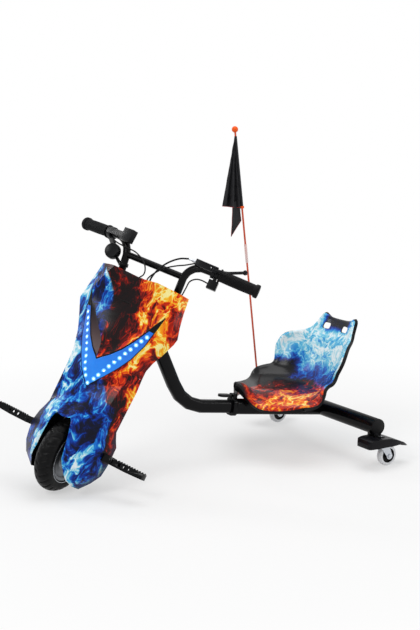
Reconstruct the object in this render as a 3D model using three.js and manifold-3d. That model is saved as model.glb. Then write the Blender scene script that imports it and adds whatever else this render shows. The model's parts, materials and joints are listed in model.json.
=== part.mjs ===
// An electric drift trike for children: one steered front wheel inside a tall two-part fairing,
// a bent main tube sliding in a rear spine, a bucket seat, and two caster wheels on a cross beam.
// Millimetres, +Z up, the front of the trike towards -Y, the rider's left towards +X.
// The origin lies on the ground, at the middle of the footprint.

import * as THREE from 'three';
import { mergeVertices } from 'three/addons/utils/BufferGeometryUtils.js';
import Module from 'manifold-3d';

const wasm = await Module();
wasm.setup();

// Driving dimensions

const degree = Math.PI / 180;
const seatGap = 0.3;         // what a fixed piece keeps from its seat
const runningGap = 0.3;      // what a turning or sliding piece keeps from its guide
const overrun = 2;           // how far a cutter reaches past what it cuts
const wheelSides = 40;       // sides of the front tyre and of the slot round it
const fine = 36;             // sides of a large round form
const round = 20;            // sides of a middling round form
const small = 10;            // sides of a small round form
const hex = 6;               // sides of a nut

const rake = 30.6 * degree;          // the steering axis leans rearward at its top
const steeringTurn = 31.3 * degree;  // the handlebar stands turned to the left
const spineSlope = 8.3 * degree;     // the main tube falls towards the rear beam
const footprintMiddle = 462;         // from the steering axis at axle height to the origin
const wheelbaseToBeam = 912;         // from the steering axis at axle height to the beam
const beamHeight = 119.4;

const wheel = {
  radius: 110, tubeRadius: 25, halfWidth: 28, barrelRadius: 65, flangeRadius: 72, flangeInner: 20,
  flangeHalf: 24,
  hubHalf: 28, axleRadius: 6, axleHalf: 70, behind: 19, up: 10,
};
const forkSize = {
  legInner: 48, legThick: 6, legHalfWidth: 18, crownBottom: 136, crownThick: 12, crownHalfDepth: 22,
  steererRadius: 13, studRadius: 9, shoulderRadius: 18,
  shoulderHeight: 8, nutHeight: 10, nutThick: 8, nutRadius: 11.5, topNutRadius: 15.5,
};
const headTube = {
  centre: 490, length: 70, radius: 20, bore: 16.5, cupRadius: 20.5, cupFlange: 4,
  cupSpigot: 10,
};
const mainTube = {
  width: 30, depth: 40, corner: 11, bendRadius: 118, kneeBehind: 396, joint: 497,
  inserted: 140,
};
const sleeve = { wall: 3, length: 352, corner: 14 };
const collar = { wall: 4, length: 14, lugHeight: 12, lugWidth: 8, slot: 4, pinRadius: 2.5 };
const clampLever = { length: 44, width: 26, thick: 7, hubRadius: 7 };
const beam = { radius: 25, wall: 2.5, half: 274.5, capThick: 3, capSpigot: 12 };
const boss = { side: 284, radius: 15, floor: 84, roof: 94, bore: 8.3, plateHalf: 14, plateInner: 40 };
const caster = {
  radius: 32, halfWidth: 10, trail: 28, coreRadius: 22, stemRadius: 8, stemTop: 93.6,
  plateRadius: 21, plateTop: 83.7, plateThick: 5, legThick: 2.5, legInner: 12.5, eye: 11,
  axleRadius: 4, nutRadius: 7, nutThick: 4, hubRadius: 9, webThick: 6,
};
const fender = { halfWidth: 35, wall: 3, skirtBottom: 67, reach: 105, height: 26 };

const fairing = {
  height: 604, bottom: -60, halfWidth: 172, depth: 100, wall: 3, partingAt: 5,
  partingGap: 0.4,
};
const cover = { top: 287, columnHole: 14.3 };
const arch = { radius: 138, armGap: 1 };
const lamp = { lensThick: 3, trayDepth: 9, gap: 0.4, rim: 3.5, dotHeight: 2.2 };

const bar = { radius: 11, crossRadius: 9.5, plateThick: 7, plateFront: 9, plateRear: 36, bossRadius: 17 };
const grip = { start: 27, end: 144, radius: 17, flangeRadius: 19.5, flange: 4 };
const peg = {
  pivotSide: 147, pivotBack: 13, pivotUp: 51.4, length: 111, half: 12, height: 22, wall: 3,
  teeth: 11, toothHeight: 4, boltRadius: 4, boltHead: 6.5, earThick: 3, earRadius: 12, armHalf: 10,
};

const seat = {
  halfWidth: 184, thick: 4, flange: 3, flangeDrop: 12, lipDrop: 19, rows: 20, columns: 14,
  columnBias: 1.15,
};
const bracket = { length: 34, half: 95, wall: 3, frontBehind: 690, rearBehind: 806 };
const pole = { radius: 3, lean: 6.5 * degree, side: 208, length: 825, ballRadius: 10, socketRadius: 7 };
const flag = { drop: 312, hoist: 224, thick: 1.6, reach: 88 };

// Derived heights

// The turned wheel touches the ground below its centre, so its height follows from its lean.
const wheelLean = Math.sin(steeringTurn) * Math.sin(rake);
const wheelHeight = (wheel.radius - wheel.tubeRadius) * Math.sqrt(1 - wheelLean ** 2) + wheel.tubeRadius;
const steeringHeight = wheelHeight + wheel.behind * Math.cos(steeringTurn) * Math.sin(rake)
  - wheel.up * Math.cos(rake);

// Colours and finishes

const paint = (color, roughness, metalness) =>
  new THREE.MeshStandardMaterial({ color, roughness, metalness });
const blackSteel = paint(0x101012, 0.3, 0.4);
const blackPlastic = paint(0x16161a, 0.5, 0);
const rubber = paint(0x1b1b1c, 0.85, 0);
const zinc = paint(0xc4c8cc, 0.35, 0.9);
const icePrint = paint(0x4fb4e6, 0.25, 0);
const firePrint = paint(0xe8561c, 0.25, 0);
const blueLens = paint(0x1f7ff0, 0.15, 0);
const whiteTyre = paint(0xe6e8ea, 0.4, 0);
const packBlue = paint(0x2c58b0, 0.5, 0);
const castAlloy = paint(0x8b8f94, 0.45, 0.8);
const poleRed = paint(0xd84a2a, 0.4, 0);
const flagBlack = paint(0x131316, 0.8, 0);
const clearSleeve = paint(0xdcc9c4, 0.35, 0);

// Solid tools

function trianglesOf(geometry) {
  const plain = geometry.clone();
  plain.deleteAttribute('normal');
  plain.deleteAttribute('uv');
  const merged = mergeVertices(plain);
  const position = merged.getAttribute('position').array;
  const index = [];
  const all = merged.index.array;
  for (let i = 0; i < all.length; i += 3) {
    const [a, b, c] = [all[i], all[i + 1], all[i + 2]];
    if (a !== b && b !== c && c !== a) index.push(a, b, c);
  }
  return { position: Float32Array.from(position), index: Uint32Array.from(index) };
}

function volumeOf(position, index) {
  const corner = (k) => new THREE.Vector3().fromArray(position, index[k] * 3);
  let sixfold = 0;
  for (let i = 0; i < index.length; i += 3) sixfold += corner(i).dot(corner(i + 1).cross(corner(i + 2)));
  return sixfold / 6;
}

function solidOf(geometry) {
  const { position, index } = trianglesOf(geometry);
  if (volumeOf(position, index) < 0) {
    for (let i = 0; i < index.length; i += 3) [index[i], index[i + 1]] = [index[i + 1], index[i]];
  }
  const mesh = new wasm.Mesh({ numProp: 3, vertProperties: position, triVerts: index });
  mesh.merge();
  return new wasm.Manifold(mesh);
}

function geometryOf(solid) {
  const mesh = solid.getMesh();
  const geometry = new THREE.BufferGeometry();
  geometry.setAttribute('position', new THREE.BufferAttribute(Float32Array.from(mesh.vertProperties), 3));
  geometry.setIndex(new THREE.BufferAttribute(Uint32Array.from(mesh.triVerts), 1));
  return geometry;
}

function join(first, ...others) {
  return geometryOf(others.reduce((sum, other) => sum.add(solidOf(other)), solidOf(first)));
}

function cut(first, ...others) {
  return geometryOf(others.reduce((rest, other) => rest.subtract(solidOf(other)), solidOf(first)));
}

function common(first, ...others) {
  return geometryOf(others.reduce((rest, other) => rest.intersect(solidOf(other)), solidOf(first)));
}

// The same body on the other side of the middle plane, with its faces turned outwards again.
function otherSide(geometry) {
  return geometryOf(solidOf(geometry.clone().scale(-1, 1, 1)));
}

// Shape tools

const point = (x, y, z) => new THREE.Vector3(x, y, z);

function box(x0, x1, y0, y1, z0, z1) {
  return new THREE.BoxGeometry(x1 - x0, y1 - y0, z1 - z0)
    .translate((x0 + x1) / 2, (y0 + y1) / 2, (z0 + z1) / 2);
}

// A profile of [radius, height] pairs, revolved about Z.
function turned(profile, sides) {
  const points = profile.map(([radius, height]) => new THREE.Vector2(radius, height));
  return new THREE.LatheGeometry(points, sides).rotateX(Math.PI / 2);
}

function rodProfile(radius, from, to) {
  return [[0, from], [radius, from], [radius, to], [0, to]];
}

function ringProfile(inner, outer, from, to) {
  return [[inner, from], [outer, from], [outer, to], [inner, to], [inner, from]];
}

// Turns a form made along Z so that it runs from one point towards another.
function aim(geometry, from, to) {
  const direction = to.clone().sub(from).normalize();
  const turn = new THREE.Quaternion().setFromUnitVectors(point(0, 0, 1), direction);
  return geometry.applyQuaternion(turn).translate(from.x, from.y, from.z);
}

function rod(radius, from, to, sides) {
  return aim(turned(rodProfile(radius, 0, from.distanceTo(to)), sides), from, to);
}

function shapeOf(outline) {
  return new THREE.Shape(outline.map(([x, y]) => new THREE.Vector2(x, y)));
}

function roundedRectangle(width, height, corner) {
  const [w, h] = [width / 2, height / 2];
  const shape = new THREE.Shape();
  shape.moveTo(corner - w, -h);
  shape.lineTo(w - corner, -h);
  shape.absarc(w - corner, corner - h, corner, -Math.PI / 2, 0);
  shape.absarc(w - corner, h - corner, corner, 0, Math.PI / 2);
  shape.absarc(corner - w, h - corner, corner, Math.PI / 2, Math.PI);
  shape.absarc(corner - w, corner - h, corner, Math.PI, 1.5 * Math.PI);
  return shape;
}

// A shape drawn in X and Y, raised along Z.
function raised(shape, from, to, curveSegments = 4) {
  return new THREE.ExtrudeGeometry(shape, { depth: to - from, bevelEnabled: false, curveSegments })
    .translate(0, 0, from);
}

// A shape drawn in Y and Z, pushed along X.
function pushedSideways(shape, from, to, curveSegments = 3) {
  const turn = new THREE.Matrix4().makeBasis(point(0, 1, 0), point(0, 0, 1), point(1, 0, 0));
  return raised(shape, from, to, curveSegments).applyMatrix4(turn);
}

// A shape drawn in X and Z, pushed along Y.
function pushedBackward(shape, from, to, curveSegments = 3) {
  const turn = new THREE.Matrix4().makeBasis(point(1, 0, 0), point(0, 0, 1), point(0, -1, 0));
  return raised(shape, -to, -from, curveSegments).applyMatrix4(turn);
}

class Bend extends THREE.Curve {
  constructor(centre, start, axis, angle) {
    super();
    Object.assign(this, { centre, start, axis, angle });
  }
  getPoint(t) {
    return this.start.clone().applyAxisAngle(this.axis, this.angle * t).add(this.centre);
  }
}

// Straight runs through the corners, joined by round bends.
function bentPath(corners, radii) {
  const path = new THREE.CurvePath();
  let from = corners[0];
  for (let i = 1; i < corners.length - 1; i += 1) {
    const before = corners[i].clone().sub(corners[i - 1]).normalize();
    const after = corners[i + 1].clone().sub(corners[i]).normalize();
    const angle = before.angleTo(after);
    const reach = radii[i - 1] * Math.tan(angle / 2);
    const enter = corners[i].clone().addScaledVector(before, -reach);
    const axis = before.clone().cross(after).normalize();
    const centre = enter.clone().addScaledVector(axis.clone().cross(before), radii[i - 1]);
    path.add(new THREE.LineCurve3(from, enter));
    path.add(new Bend(centre, enter.clone().sub(centre), axis, angle));
    from = corners[i].clone().addScaledVector(after, reach);
  }
  path.add(new THREE.LineCurve3(from, corners[corners.length - 1]));
  return path;
}

function swept(shape, path, steps, curveSegments = 4) {
  return new THREE.ExtrudeGeometry(shape, { extrudePath: path, steps, bevelEnabled: false, curveSegments });
}

function circle(radius, sides) {
  const shape = [];
  for (let i = 0; i < sides; i += 1) {
    const angle = 2 * Math.PI * i / sides;
    shape.push([radius * Math.cos(angle), radius * Math.sin(angle)]);
  }
  return shapeOf(shape);
}

// Closed loops of equal count, skinned into one closed body with fanned ends.
function loft(loops) {
  const count = loops[0].length;
  const vertices = loops.flat();
  const index = [];
  for (let row = 0; row + 1 < loops.length; row += 1) {
    for (let i = 0; i < count; i += 1) {
      const [a, b] = [row * count + i, row * count + (i + 1) % count];
      index.push(a, b, b + count, a, b + count, a + count);
    }
  }
  for (const [row, turn] of [[0, 1], [loops.length - 1, -1]]) {
    const middle = loops[row].reduce((sum, p) => sum.add(p), point(0, 0, 0)).divideScalar(count);
    const hub = vertices.push(middle) - 1;
    for (let i = 0; i < count; i += 1) {
      const [a, b] = [row * count + i, row * count + (i + 1) % count];
      if (turn > 0) index.push(hub, b, a);
      else index.push(hub, a, b);
    }
  }
  const geometry = new THREE.BufferGeometry().setFromPoints(vertices);
  geometry.setIndex(index);
  return geometry;
}

function add(group, name, geometry, material) {
  const mesh = new THREE.Mesh(geometry, material);
  mesh.name = name;
  group.add(mesh);
  return mesh;
}

const mirrored = (outline) => outline.map(([x, y]) => [-x, y]);

// Groups

const trike = new THREE.Group();
const chassis = new THREE.Group();
chassis.position.set(0, -footprintMiddle, 0);
trike.add(chassis);

// The spine runs along Y from the beam, rising towards the front.
const spine = new THREE.Group();
spine.position.set(0, wheelbaseToBeam, beamHeight);
spine.rotation.x = -spineSlope;
chassis.add(spine);

// The raked group holds the head tube; the steering group inside it is turned by the handlebar.
const raked = new THREE.Group();
raked.position.set(0, 0, steeringHeight);
raked.rotation.x = -rake;
chassis.add(raked);
const steering = new THREE.Group();
steering.rotation.z = steeringTurn;
raked.add(steering);

const sleeveWidth = mainTube.width + 2 * (runningGap + sleeve.wall);
const sleeveDepth = mainTube.depth + 2 * (runningGap + sleeve.wall);

// Rear frame

function rearSleeve() {
  const shape = roundedRectangle(sleeveWidth, sleeveDepth, sleeve.corner);
  const outer = pushedBackward(shape, -sleeve.length, 0);
  const bore = pushedBackward(
    roundedRectangle(mainTube.width + 2 * runningGap, mainTube.depth + 2 * runningGap, mainTube.corner),
    -sleeve.length - overrun, overrun);
  const saddle = rod(beam.radius + seatGap, point(-sleeveWidth, 0, 0), point(sleeveWidth, 0, 0), fine);
  return cut(outer, bore, saddle);
}

function crossBeam() {
  const bossFloor = boss.floor - beamHeight;
  const bossRoof = boss.roof - beamHeight;
  const tube = rod(beam.radius, point(-beam.half, 0, 0), point(beam.half, 0, 0), fine);
  const bore = rod(beam.radius - beam.wall, point(-beam.half - overrun, 0, 0),
    point(beam.half + overrun, 0, 0), fine);
  const sides = [-1, 1];
  const bosses = sides.map((side) => rod(boss.radius, point(side * boss.side, 0, bossFloor),
    point(side * boss.side, 0, bossRoof), round));
  const plates = sides.map((side) => {
    const [inner, outer] = [side * (boss.side - boss.plateInner), side * boss.side];
    return box(Math.min(inner, outer), Math.max(inner, outer), -boss.plateHalf, boss.plateHalf,
      bossFloor, bossRoof);
  });
  const webs = sides.map((side) => {
    const [inner, outer] = [side * (boss.side - boss.plateInner), side * beam.half];
    return box(Math.min(inner, outer), Math.max(inner, outer), -boss.plateHalf, boss.plateHalf,
      bossFloor, -beam.radius / 2);
  });
  const stemHoles = sides.map((side) => rod(boss.bore, point(side * boss.side, 0, bossFloor - overrun),
    point(side * boss.side, 0, bossRoof + overrun), round));
  return cut(join(tube, ...bosses, ...plates, ...webs), bore, ...stemHoles);
}

function beamCap(side) {
  const spigot = beam.radius - beam.wall - seatGap;
  const profile = [
    [0, -beam.capSpigot], [spigot, -beam.capSpigot], [spigot, seatGap], [beam.radius, seatGap],
    [beam.radius, beam.capThick / 2], [beam.radius - beam.capThick, beam.capThick], [0, beam.capThick],
  ];
  return aim(turned(profile, round), point(side * beam.half, 0, 0), point(side * 2 * beam.half, 0, 0));
}

// The fender's side view, front to tail, as shares of its reach behind the swivel and its height.
const fenderSideShares = [
  [-0.60, 0], [-0.62, 0.5], [-0.55, 0.88], [-0.42, 1.0], [-0.1, 1.0], [0.16, 0.95], [0.42, 0.62],
  [0.72, 0.1], [1, -0.6], [0.86, -0.45], [0.66, -0.2], [0.5, 0],
];
const fenderPlanShares = [
  [-0.61, 0.72], [-0.54, 0.92], [-0.3, 1], [0.3, 1], [0.6, 0.86], [0.85, 0.5], [1.02, 0.12],
];

function fenderShell(side) {
  const outlineAt = (inset) => fenderSideShares.map(([y, z]) => {
    const along = y * fender.reach + (y < -0.5 ? inset : 0) - (y > 0.8 ? inset : 0);
    const rise = z > 0.1 || y > 0.6 ? z * fender.height - inset : -inset;
    return [along, fender.skirtBottom + rise];
  });
  const solid = (inset) => {
    const plan = fenderPlanShares.map(([y, w]) =>
      [w * fender.halfWidth - inset, y * fender.reach - Math.sign(y) * inset]);
    const both = [...plan, ...mirrored(plan).reverse()];
    return common(pushedSideways(shapeOf(outlineAt(inset)), -fender.halfWidth, fender.halfWidth),
      raised(shapeOf(both), 0, 2 * fender.skirtBottom));
  };
  const bossHole = turned(rodProfile(boss.radius + seatGap, 0, 2 * fender.skirtBottom), round);
  const inward = -side * fender.halfWidth * 2;
  const plateHole = box(Math.min(0, inward), Math.max(0, inward), -boss.plateHalf - seatGap,
    boss.plateHalf + seatGap, boss.floor - seatGap, 2 * fender.skirtBottom);
  const beamHole = rod(beam.radius + seatGap, point(-2 * fender.halfWidth, 0, beamHeight),
    point(2 * fender.halfWidth, 0, beamHeight), fine);
  return cut(solid(0), solid(fender.wall), bossHole, plateHole, beamHole)
    .translate(side * boss.side, wheelbaseToBeam, 0);
}

function clampCollar() {
  const inner = roundedRectangle(sleeveWidth + 2 * seatGap, sleeveDepth + 2 * seatGap, sleeve.corner);
  const outer = roundedRectangle(sleeveWidth + 2 * collar.wall, sleeveDepth + 2 * collar.wall, sleeve.corner);
  const front = -sleeve.length;
  const back = front + collar.length;
  const top = sleeveDepth / 2;
  const lugHalf = collar.slot + collar.lugWidth;
  const lugs = box(-lugHalf, lugHalf, front, back, top, top + collar.wall + collar.lugHeight);
  const slot = box(-collar.slot, collar.slot, front - overrun, back + overrun, top - overrun,
    top + collar.wall + collar.lugHeight + overrun);
  const pinUp = top + collar.wall + collar.lugHeight / 2;
  const pin = rod(collar.pinRadius, point(-lugHalf - 1 / 2 * overrun, front + collar.length / 2, pinUp),
    point(lugHalf + 1 / 2 * overrun, front + collar.length / 2, pinUp), small);
  const ring = cut(join(pushedBackward(outer, front, back), lugs),
    pushedBackward(inner, front - overrun, back + overrun), slot);
  return join(ring, pin);
}

function clampLeverArm() {
  const pinAlong = -sleeve.length + collar.length / 2;
  const pinUp = sleeveDepth / 2 + collar.wall + collar.lugHeight / 2;
  const eye = rod(clampLever.hubRadius - seatGap, point(-collar.slot + runningGap, pinAlong, pinUp),
    point(collar.slot - runningGap, pinAlong, pinUp), round);
  const start = pinAlong - Math.hypot(collar.length, collar.lugHeight) / 2 - runningGap;
  const outline = new THREE.Shape();
  const half = clampLever.width / 2;
  outline.moveTo(-collar.slot + runningGap, pinAlong);
  outline.lineTo(collar.slot - runningGap, pinAlong);
  outline.lineTo(collar.slot - runningGap, start);
  outline.lineTo(half, start - half / 2);
  outline.lineTo(half, start - clampLever.length + half);
  outline.absarc(0, start - clampLever.length + half, half, 0, -Math.PI, true);
  outline.lineTo(-half, start - half / 2);
  outline.lineTo(-collar.slot + runningGap, start);
  const arm = raised(outline, pinUp - clampLever.thick / 2, pinUp + clampLever.thick / 2, 8);
  const hole = rod(collar.pinRadius + runningGap, point(-half, pinAlong, pinUp),
    point(half, pinAlong, pinUp), small);
  return cut(join(eye, arm), hole);
}

add(spine, 'rear_sleeve', rearSleeve(), blackSteel);
add(spine, 'clamp_collar', clampCollar(), blackSteel);
add(spine, 'clamp_lever', clampLeverArm(), blackPlastic);
const beamGroup = new THREE.Group();
beamGroup.position.set(0, wheelbaseToBeam, beamHeight);
chassis.add(beamGroup);
add(beamGroup, 'cross_beam', crossBeam(), blackSteel);

// Casters

function casterFork() {
  const shape = new THREE.Shape();
  const top = caster.plateTop - caster.plateThick / 2;
  shape.moveTo(-caster.plateRadius + caster.legThick, top);
  shape.lineTo(caster.trail - caster.eye, caster.radius);
  shape.absarc(caster.trail, caster.radius, caster.eye, Math.PI, 2 * Math.PI);
  shape.lineTo(caster.plateRadius - caster.legThick, top);
  const outer = caster.legInner + caster.legThick;
  const legs = pushedSideways(shape, -outer, outer);
  const gapBottom = caster.radius - caster.eye - overrun;
  const throat = box(-caster.legInner, caster.legInner, -caster.plateRadius,
    caster.trail + caster.eye + overrun, gapBottom, caster.plateTop - caster.plateThick);
  const plate = turned(rodProfile(caster.plateRadius, caster.plateTop - caster.plateThick,
    caster.plateTop), round);
  const stem = turned(rodProfile(caster.stemRadius, caster.plateTop - caster.plateThick, caster.stemTop),
    round);
  const ends = outer + caster.nutThick;
  const axle = rod(caster.axleRadius, point(-ends, caster.trail, caster.radius),
    point(ends, caster.trail, caster.radius), small);
  const heads = [-1, 1].map((side) => rod(caster.nutRadius, point(side * outer, caster.trail, caster.radius),
    point(side * ends, caster.trail, caster.radius), hex));
  return join(cut(legs, throat), plate, stem, axle, ...heads);
}

function casterCore() {
  const hubHalf = caster.legInner - 2 * runningGap;
  const bore = caster.axleRadius + runningGap;
  const lip = caster.coreRadius - caster.legThick;
  const half = caster.halfWidth - 2 * runningGap;
  const profile = [
    [bore, -hubHalf], [caster.hubRadius, -hubHalf], [caster.hubRadius, -caster.webThick / 2],
    [lip, -caster.webThick / 2], [lip, -half], [caster.coreRadius, -half], [caster.coreRadius, half],
    [lip, half], [lip, caster.webThick / 2], [caster.hubRadius, caster.webThick / 2],
    [caster.hubRadius, hubHalf], [bore, hubHalf], [bore, -hubHalf],
  ];
  return turned(profile, round).rotateY(Math.PI / 2);
}

function casterTyre() {
  const inner = caster.coreRadius + seatGap;
  const shoulder = caster.radius - caster.halfWidth / 3;
  const crown = caster.halfWidth / 2;
  const profile = [
    [inner, -caster.halfWidth], [shoulder, -caster.halfWidth], [caster.radius, -crown],
    [caster.radius, crown], [shoulder, caster.halfWidth], [inner, caster.halfWidth],
    [inner, -caster.halfWidth],
  ];
  return turned(profile, fine).rotateY(Math.PI / 2);
}

for (const [word, side] of [['left', 1], ['right', -1]]) {
  add(beamGroup, `beam_cap_${word}`, beamCap(side), blackPlastic);
  add(chassis, `fender_${word}`, fenderShell(side), blackPlastic);
  const swivel = new THREE.Group();
  swivel.position.set(side * boss.side, wheelbaseToBeam, 0);
  chassis.add(swivel);
  add(swivel, `caster_fork_${word}`, casterFork(), zinc);
  const rolling = new THREE.Group();
  rolling.position.set(0, caster.trail, caster.radius);
  swivel.add(rolling);
  add(rolling, `rear_core_${word}`, casterCore(), blackPlastic);
  add(rolling, `rear_tyre_${word}`, casterTyre(), whiteTyre);
}

// Main tube and head tube

function mainTubeBody() {
  const axisPoint = (up) => point(0, up * Math.sin(rake), steeringHeight + up * Math.cos(rake));
  const spineAt = (behind) => point(0, behind,
    beamHeight + (wheelbaseToBeam - behind) * Math.tan(spineSlope));
  const sleeveFront = wheelbaseToBeam - sleeve.length * Math.cos(spineSlope);
  const corners = [axisPoint(mainTube.joint), spineAt(mainTube.kneeBehind),
    spineAt(sleeveFront + mainTube.inserted)];
  const path = bentPath(corners, [mainTube.bendRadius]);
  const body = swept(roundedRectangle(mainTube.width, mainTube.depth, mainTube.corner), path, 16, 2);
  const saddle = rod(headTube.cupRadius + seatGap, axisPoint(headTube.centre - headTube.length),
    axisPoint(headTube.centre + headTube.length), fine);
  return cut(body, saddle);
}

function headTubeBody() {
  const half = headTube.length / 2;
  return turned(ringProfile(headTube.bore, headTube.radius, headTube.centre - half,
    headTube.centre + half), round);
}

function bearingCup(side) {
  const face = headTube.length / 2 + seatGap;
  const bore = forkSize.steererRadius + runningGap;
  const profile = [
    [bore, -headTube.cupSpigot], [headTube.bore - seatGap, -headTube.cupSpigot], [headTube.bore - seatGap, 0],
    [headTube.cupRadius, 0], [headTube.cupRadius, headTube.cupFlange], [bore, headTube.cupFlange],
    [bore, -headTube.cupSpigot],
  ];
  const cup = turned(profile, round);
  if (side < 0) cup.rotateX(Math.PI);
  return cup.translate(0, 0, headTube.centre + side * face);
}

add(chassis, 'main_tube', mainTubeBody(), blackSteel);
add(raked, 'head_tube', headTubeBody(), blackSteel);
add(raked, 'bearing_cup_upper', bearingCup(1), zinc);
add(raked, 'bearing_cup_lower', bearingCup(-1), zinc);

// Fork, wheel and brake

const legOuter = forkSize.legInner + forkSize.legThick;
const crownTop = forkSize.crownBottom + forkSize.crownThick;
const cupTop = headTube.centre + headTube.length / 2 + seatGap + headTube.cupFlange;
const cupBottom = headTube.centre - headTube.length / 2 - seatGap - headTube.cupFlange;
const plateFloor = cupTop + seatGap;
const plateRoof = plateFloor + bar.plateThick;
const nutFloor = plateRoof + seatGap;

function forkBody() {
  const half = forkSize.legHalfWidth;
  const legs = [-1, 1].map((side) => {
    const shape = new THREE.Shape();
    shape.moveTo(half, crownTop);
    shape.lineTo(-half, crownTop);
    shape.lineTo(-half, forkSize.crownBottom);
    shape.lineTo(wheel.behind - half, wheel.up);
    shape.absarc(wheel.behind, wheel.up, half, Math.PI, 2 * Math.PI);
    shape.lineTo(half, forkSize.crownBottom);
    const [inner, outer] = side > 0 ? [forkSize.legInner, legOuter] : [-legOuter, -forkSize.legInner];
    return pushedSideways(shape, inner, outer, 8);
  });
  const crown = box(-legOuter, legOuter, -forkSize.crownHalfDepth, forkSize.crownHalfDepth,
    forkSize.crownBottom, crownTop);
  const shoulderTop = cupBottom - seatGap;
  const shoulderFloor = shoulderTop - forkSize.shoulderHeight;
  const column = turned([
    [0, forkSize.crownBottom], [forkSize.steererRadius, forkSize.crownBottom],
    [forkSize.steererRadius, shoulderFloor], [forkSize.shoulderRadius, shoulderFloor],
    [forkSize.shoulderRadius, shoulderTop], [forkSize.steererRadius, shoulderTop],
    [forkSize.steererRadius, plateFloor - seatGap], [forkSize.studRadius, plateFloor - seatGap],
    [forkSize.studRadius, nutFloor + forkSize.nutHeight], [0, nutFloor + forkSize.nutHeight],
  ], round);
  const axleHole = rod(wheel.axleRadius + seatGap, point(-wheel.axleHalf, wheel.behind, wheel.up),
    point(wheel.axleHalf, wheel.behind, wheel.up), round);
  return cut(join(crown, ...legs, column), axleHole);
}

function wheelAxle() {
  const axle = rod(wheel.axleRadius, point(-wheel.axleHalf, 0, 0), point(wheel.axleHalf, 0, 0), round);
  const nutStart = legOuter + seatGap;
  const nuts = [-1, 1].map((side) => rod(forkSize.nutRadius, point(side * nutStart, 0, 0),
    point(side * (nutStart + forkSize.nutThick), 0, 0), hex));
  return join(axle, ...nuts).translate(0, wheel.behind, wheel.up);
}

function topNut() {
  const body = turned(rodProfile(forkSize.topNutRadius, nutFloor, nutFloor + forkSize.nutHeight), hex);
  return cut(body, turned(rodProfile(forkSize.studRadius + seatGap, 0, 2 * nutFloor), round));
}

function frontTyre() {
  const centre = wheel.radius - wheel.tubeRadius;
  const bead = wheel.flangeInner - seatGap;
  const foot = wheel.barrelRadius + seatGap;
  const lip = wheel.flangeRadius + seatGap;
  const profile = [[foot, -bead], [lip, -bead], [lip, -wheel.flangeHalf]];
  const sweep = 220;
  const steps = 9;
  for (let i = 0; i <= steps; i += 1) {
    const angle = (-sweep / 2 + sweep * i / steps) * degree;
    profile.push([centre + wheel.tubeRadius * Math.cos(angle), wheel.halfWidth * Math.sin(angle)]);
  }
  profile.push([lip, wheel.flangeHalf], [lip, bead], [foot, bead], [foot, -bead]);
  return turned(profile, wheelSides).rotateY(Math.PI / 2);
}

function hubMotor() {
  const bore = wheel.axleRadius + runningGap;
  const { hubHalf, barrelRadius, flangeRadius, flangeInner, flangeHalf } = wheel;
  const well = hubHalf * 0.6;
  const cap = barrelRadius * 0.38;
  const boss = hubHalf + wheel.axleRadius / 2;
  const side = [
    [bore, boss], [cap, boss], [cap + wheel.axleRadius / 2, hubHalf], [barrelRadius * 0.66, well],
    [barrelRadius * 0.92, well], [barrelRadius, flangeHalf], [flangeRadius, flangeHalf],
    [flangeRadius, flangeInner], [barrelRadius, flangeInner],
  ];
  const profile = [...side.map(([radius, along]) => [radius, -along]), ...side.slice().reverse(),
    [bore, -boss]];
  return turned(profile, round).rotateY(Math.PI / 2);
}

// The brake's fixed back plate, with the arm that the cable pulls.
const brakePlate = { radius: 38, thick: 5, armReach: 62, armHalf: 6 };
const brakeInner = wheel.hubHalf + wheel.axleRadius / 2 + 2 * runningGap;

function brakeBackPlate() {
  const plate = turned(ringProfile(wheel.axleRadius + seatGap, brakePlate.radius, brakeInner,
    brakeInner + brakePlate.thick), round).rotateY(Math.PI / 2);
  const arm = box(brakeInner, brakeInner + brakePlate.thick, -brakePlate.armHalf - forkSize.legHalfWidth,
    brakePlate.armHalf - forkSize.legHalfWidth, 0, brakePlate.armReach);
  return join(plate, arm).translate(0, wheel.behind, wheel.up);
}

add(steering, 'fork', forkBody(), blackSteel);
add(steering, 'wheel_axle', wheelAxle(), zinc);
add(steering, 'top_nut', topNut(), zinc);
add(steering, 'brake_plate', brakeBackPlate(), castAlloy);
const frontWheel = new THREE.Group();
frontWheel.position.set(0, wheel.behind, wheel.up);
steering.add(frontWheel);
add(frontWheel, 'front_tyre', frontTyre(), rubber);
add(frontWheel, 'hub_motor', hubMotor(), castAlloy);

// Fairing

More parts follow.
